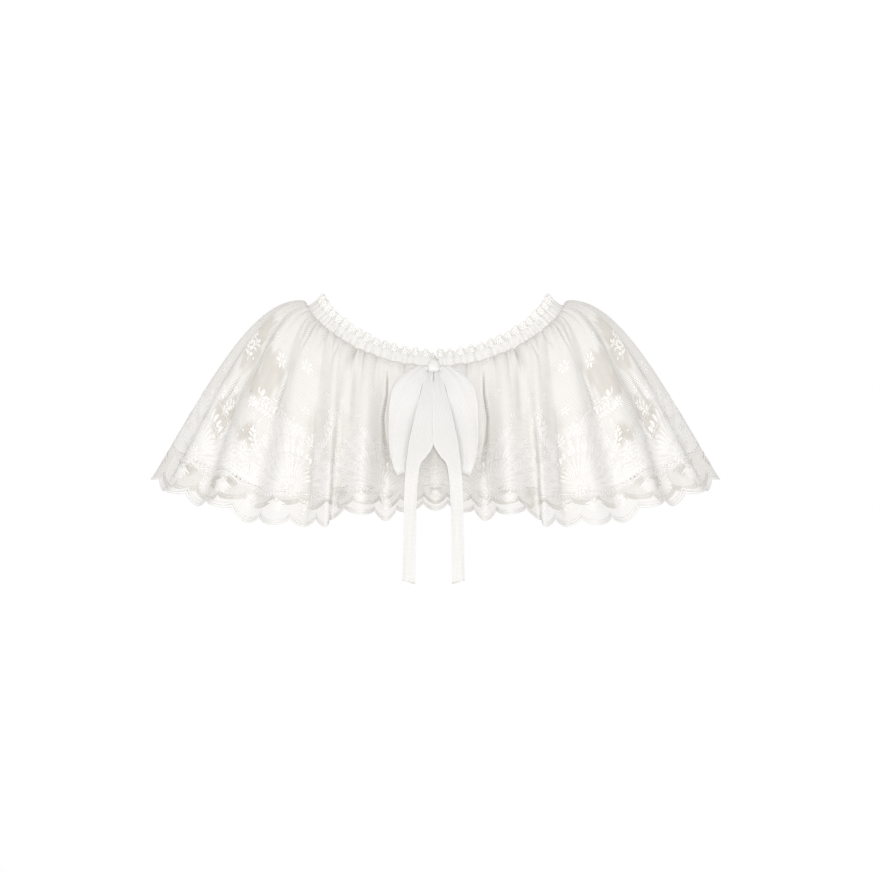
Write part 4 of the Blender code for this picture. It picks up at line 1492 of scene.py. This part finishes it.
ridgeDowns = np.linspace(0, 0.99, 800)
ridge = layLace(np.ones_like(ridgeDowns), ridgeDowns, fine=False)


def frontOfLace(z):    # how far forward the first ridge of the lace stands at a height
    return np.interp(-np.asarray(z), -ridge[:, 2], -ridge[:, 1])


def ribbonGrid(rows, steps, columns, crown, pleats):
    side, z, ahead, width, tilt = spreadRows(rows, steps).T
    centres = np.stack([bow["side"] + side, -frontOfLace(z) - ahead, z], axis=1)
    along = unit(np.gradient(centres, axis=0))
    tilt = np.radians(tilt)
    slope = (frontOfLace(z - 4) - frontOfLace(z + 4)) / 8
    across = np.stack([np.cos(tilt), slope * np.sin(tilt), np.sin(tilt)], axis=1)
    across = unit(across - along * np.sum(across * along, axis=1, keepdims=True))
    out = np.cross(along, across)
    share = np.concatenate([[-1], np.linspace(-0.95, 0.95, columns - 2), [1]])[:, None]    # crisp edges
    run = runAlong(centres)
    lift = crown * (1 - share ** 2) + pleats(share, run, run[-1])
    offset = share * width / 2
    grid = centres + across * offset[..., None] + out * lift[..., None]
    begins, full = bow["selvedge"]
    selvedge = smooth(np.abs(offset), width / 2 - begins, width / 2 - full)
    return grid, spread(run, offset), selvedge


def loopPleats(share, run, length):    # folds fan out from the knot at both ends, softer in the middle
    near = np.exp(-run / 26) + np.exp(-(length - run) / 26)
    soft = 0.30 * np.sin(2.2 * share * math.pi + run / 17) * np.sin(math.pi * run / length)
    return 0.55 * near * np.cos(share * math.pi * 3.2 + 0.4) + soft


def tailPleats(share, run, _):    # folds near the knot, a fold lengthwise and a slow twist
    near = np.exp(-run / 34)
    fold = 0.5 * smooth(run, 60, 90) * (1 - smooth(run, 105, 150)) * np.cos(share * math.pi * 2.0)
    return 0.5 * near * np.cos(share * math.pi * 3.0) + 0.28 * fold + 0.16 * np.sin(share * 4 + run / 23)


def meetingTails(grid, side):    # down to the arch the tails' inner edges lie over each other
    share = np.linspace(0, 1, grid.shape[0])[::-side, None]
    near = smooth(grid[..., 2], -142, -131) * (1 - smooth(grid[..., 2], -78, -70))
    grid = grid.copy()
    grid[..., 0] -= side * bow["tailsOver"] * near * share
    if side > 0:
        grid[..., 1] -= bow["tailAhead"] * near * share
    return grid


def makeRibbon(name, grid, flat, selvedge, factsOf):    # the left one of a pair and its mirror image
    made = []
    turned = grid[::-1].copy()
    turned[..., 0] = 2 * bow["side"] - turned[..., 0]
    sides = ("Left", -1, grid, flat, selvedge), ("Right", 1, turned, flat[::-1], selvedge[::-1])
    for label, side, part, partFlat, edge in sides:
        if name == "bowTail":
            part = meetingTails(part, side)
        facts = {"selvedge": edge, **factsOf(-part[..., 2])}
        made.append(wallPiece(name + label, part, bow["cloth"], organza, partFlat, facts))
    return made


def loopFacts(drop):    # the loops are more see-through lower down
    return {"sheer": smooth(drop, 88, 125), "paintedTailShade": np.zeros_like(drop)}


def tailFacts(drop):    # the tails get more painted shade lower down
    return {"sheer": np.zeros_like(drop), "paintedTailShade": 0.55 * smooth(drop, 60, 150)}


loopRibbon = ribbonGrid(loopRows, *bow["loopGrid"], loopPleats)
bowLoopLeft, bowLoopRight = makeRibbon("bowLoop", *loopRibbon, loopFacts)
tailGrid, tailFlat, tailEdge = ribbonGrid(tailRows, *bow["tailGrid"], tailPleats)
tailGrid[:, -1, 2] += bow["tailSlant"] * (0.5 - np.linspace(0, 1, tailGrid.shape[0]))
bowTailLeft, bowTailRight = makeRibbon("bowTail", tailGrid, tailFlat, tailEdge, tailFacts)


def makeKnot():    # a pillow of ribbon wound round in soft pleats
    rings, sides = knot["rings"], knot["sides"]
    width, depth, height = knot["size"]
    share = np.linspace(0.02, 0.98, rings)
    turn = (2 * np.pi * np.arange(sides) / sides)[:, None]
    reach = np.sin(np.pi * share) ** knot["boxy"]
    fold = np.abs(np.sin(knot["pleats"] * turn + knot["twist"] * share + 0.5))
    crease = 1.01 - knot["pleatDepth"] * (1 - fold) ** 1.6
    crease = crease - knot["fineDepth"] * np.cos(11 * turn - 4 * share)
    x, y = width / 2 * reach * np.cos(turn) * crease, depth / 2 * reach * np.sin(turn) * crease
    z = np.broadcast_to(height / 2 * np.cos(np.pi * share), x.shape)
    lean = math.radians(-knot["lean"])
    ahead = float(frontOfLace(knot["height"])) + knot["ahead"]
    middle = np.array([bow["side"], -ahead, knot["height"]])
    y, z = y * math.cos(lean) - z * math.sin(lean), y * math.sin(lean) + z * math.cos(lean)
    points = (np.stack([x, y, z], axis=-1) + middle).reshape(-1, 3)
    faces = [*gridFaces(sides, rings, closed=True)]
    faces.append(tuple(k * rings for k in range(sides)))
    faces.append(tuple(k * rings + rings - 1 for k in reversed(range(sides))))
    uv = spread(turn * 6, share * height).reshape(-1, 2)
    facts = {"selvedge": np.full(len(points), knot["selvedge"])}
    return makePiece("bowKnot", points, faces, organza, uv, facts)


bowKnot = makeKnot()
print("bow tied")


# What each piece stands for and rides on

pieces = (    # piece, finish slot and the nodes that it stands in for
    (laceFlounce, "lace_net", "cape_front", "cape_back"),
    (hemSatinRim, "lace_net"),
    (borderFronds, "lace_net"),
    (floralSprigs, "lace_net"),
    (scallopMotifs, "lace_net"),
    (neckCasing, "casing_net", "neck_casing"),
    (casingStitches, "casing_net"),
    (casingFlowers, "casing_net"),
    (neckFrill, "lace_net", "neck_frill"),
    (frillEdge, "lace_net"),
    (bowKnot, "organza_ribbon", "bow_knot"),
    (bowLoopLeft, "organza_ribbon", "bow_loop_left"),
    (bowLoopRight, "organza_ribbon", "bow_loop_right"),
    (bowTailLeft, "organza_ribbon", "bow_tail_left"),
    (bowTailRight, "organza_ribbon", "bow_tail_right"),
)
for piece, slotName, *nodes in pieces:
    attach(piece, body)
    if nodes:
        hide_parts(*nodes)


# Studio

studio = {"floorHeight": -750.0, "floorRadius": 1400.0, "floorSides": 96, "seen": 1.0, "soft": 0.69}
floorLook = {"colour": "#EFEDEA", "shader": {"Roughness": 1.0, "Specular IOR Level": 0.0}}
lamps = (    # name, lean, turn, strength and spread
    ("key", 52.0, -28.0, 0.28, 60.0),
    ("front", 88.0, 2.0, 1.46, 8.0),
    ("low", 110.0, -4.0, 0.60, 60.0),
    ("behind", 74.0, 176.0, 1.1, 40.0),
)


def addStudio():
    around = np.linspace(0, 2 * math.pi, studio["floorSides"], endpoint=False)
    rim = np.stack([np.cos(around), np.sin(around), 0 * around], axis=1) * studio["floorRadius"]
    finish, _, shader = newFinish("pale painted floor", floorLook)
    shader.inputs["Base Color"].default_value = linearColour(floorLook["colour"])
    floor = makePiece("floor", rim + upward * studio["floorHeight"], [range(len(rim))], finish)
    world = bpy.data.worlds.new("studio")
    world.use_nodes = True
    tree = world.node_tree
    shader = tree.nodes["Background"]
    seen = addNode(tree, "ShaderNodeLightPath").outputs["Is Camera Ray"]
    strength = addNode(tree, "ShaderNodeMix", {0: seen, 2: studio["soft"], 3: studio["seen"]})
    shader.inputs["Color"].default_value = (1.0, 1.0, 1.0, 1.0)
    feed(tree, shader.inputs["Strength"], strength)
    bpy.context.scene.world = world
    for name, lean, turn, strength, spreadAngle in lamps:
        light = bpy.data.lights.new(name, "SUN")
        light.energy = strength
        light.angle = math.radians(spreadAngle)
        showObject(name, light).rotation_euler = (math.radians(lean), 0.0, math.radians(turn))


addStudio()
camera = bpy.data.cameras.new("camera")
camera.sensor_width = 36.0
camera.lens = 36.0 * 3.5 / 0.873    # frames 873 mm at the middle of the collar, from 3.5 m before it
cameraHolder = showObject("camera", camera)
cameraHolder.location = (0.001, -3.5, -0.1265)
cameraHolder.rotation_euler = (math.pi / 2, 0.0, 0.0)
bpy.context.scene.camera = cameraHolder
bpy.context.scene.view_settings.view_transform = "Standard"
print("studio set")
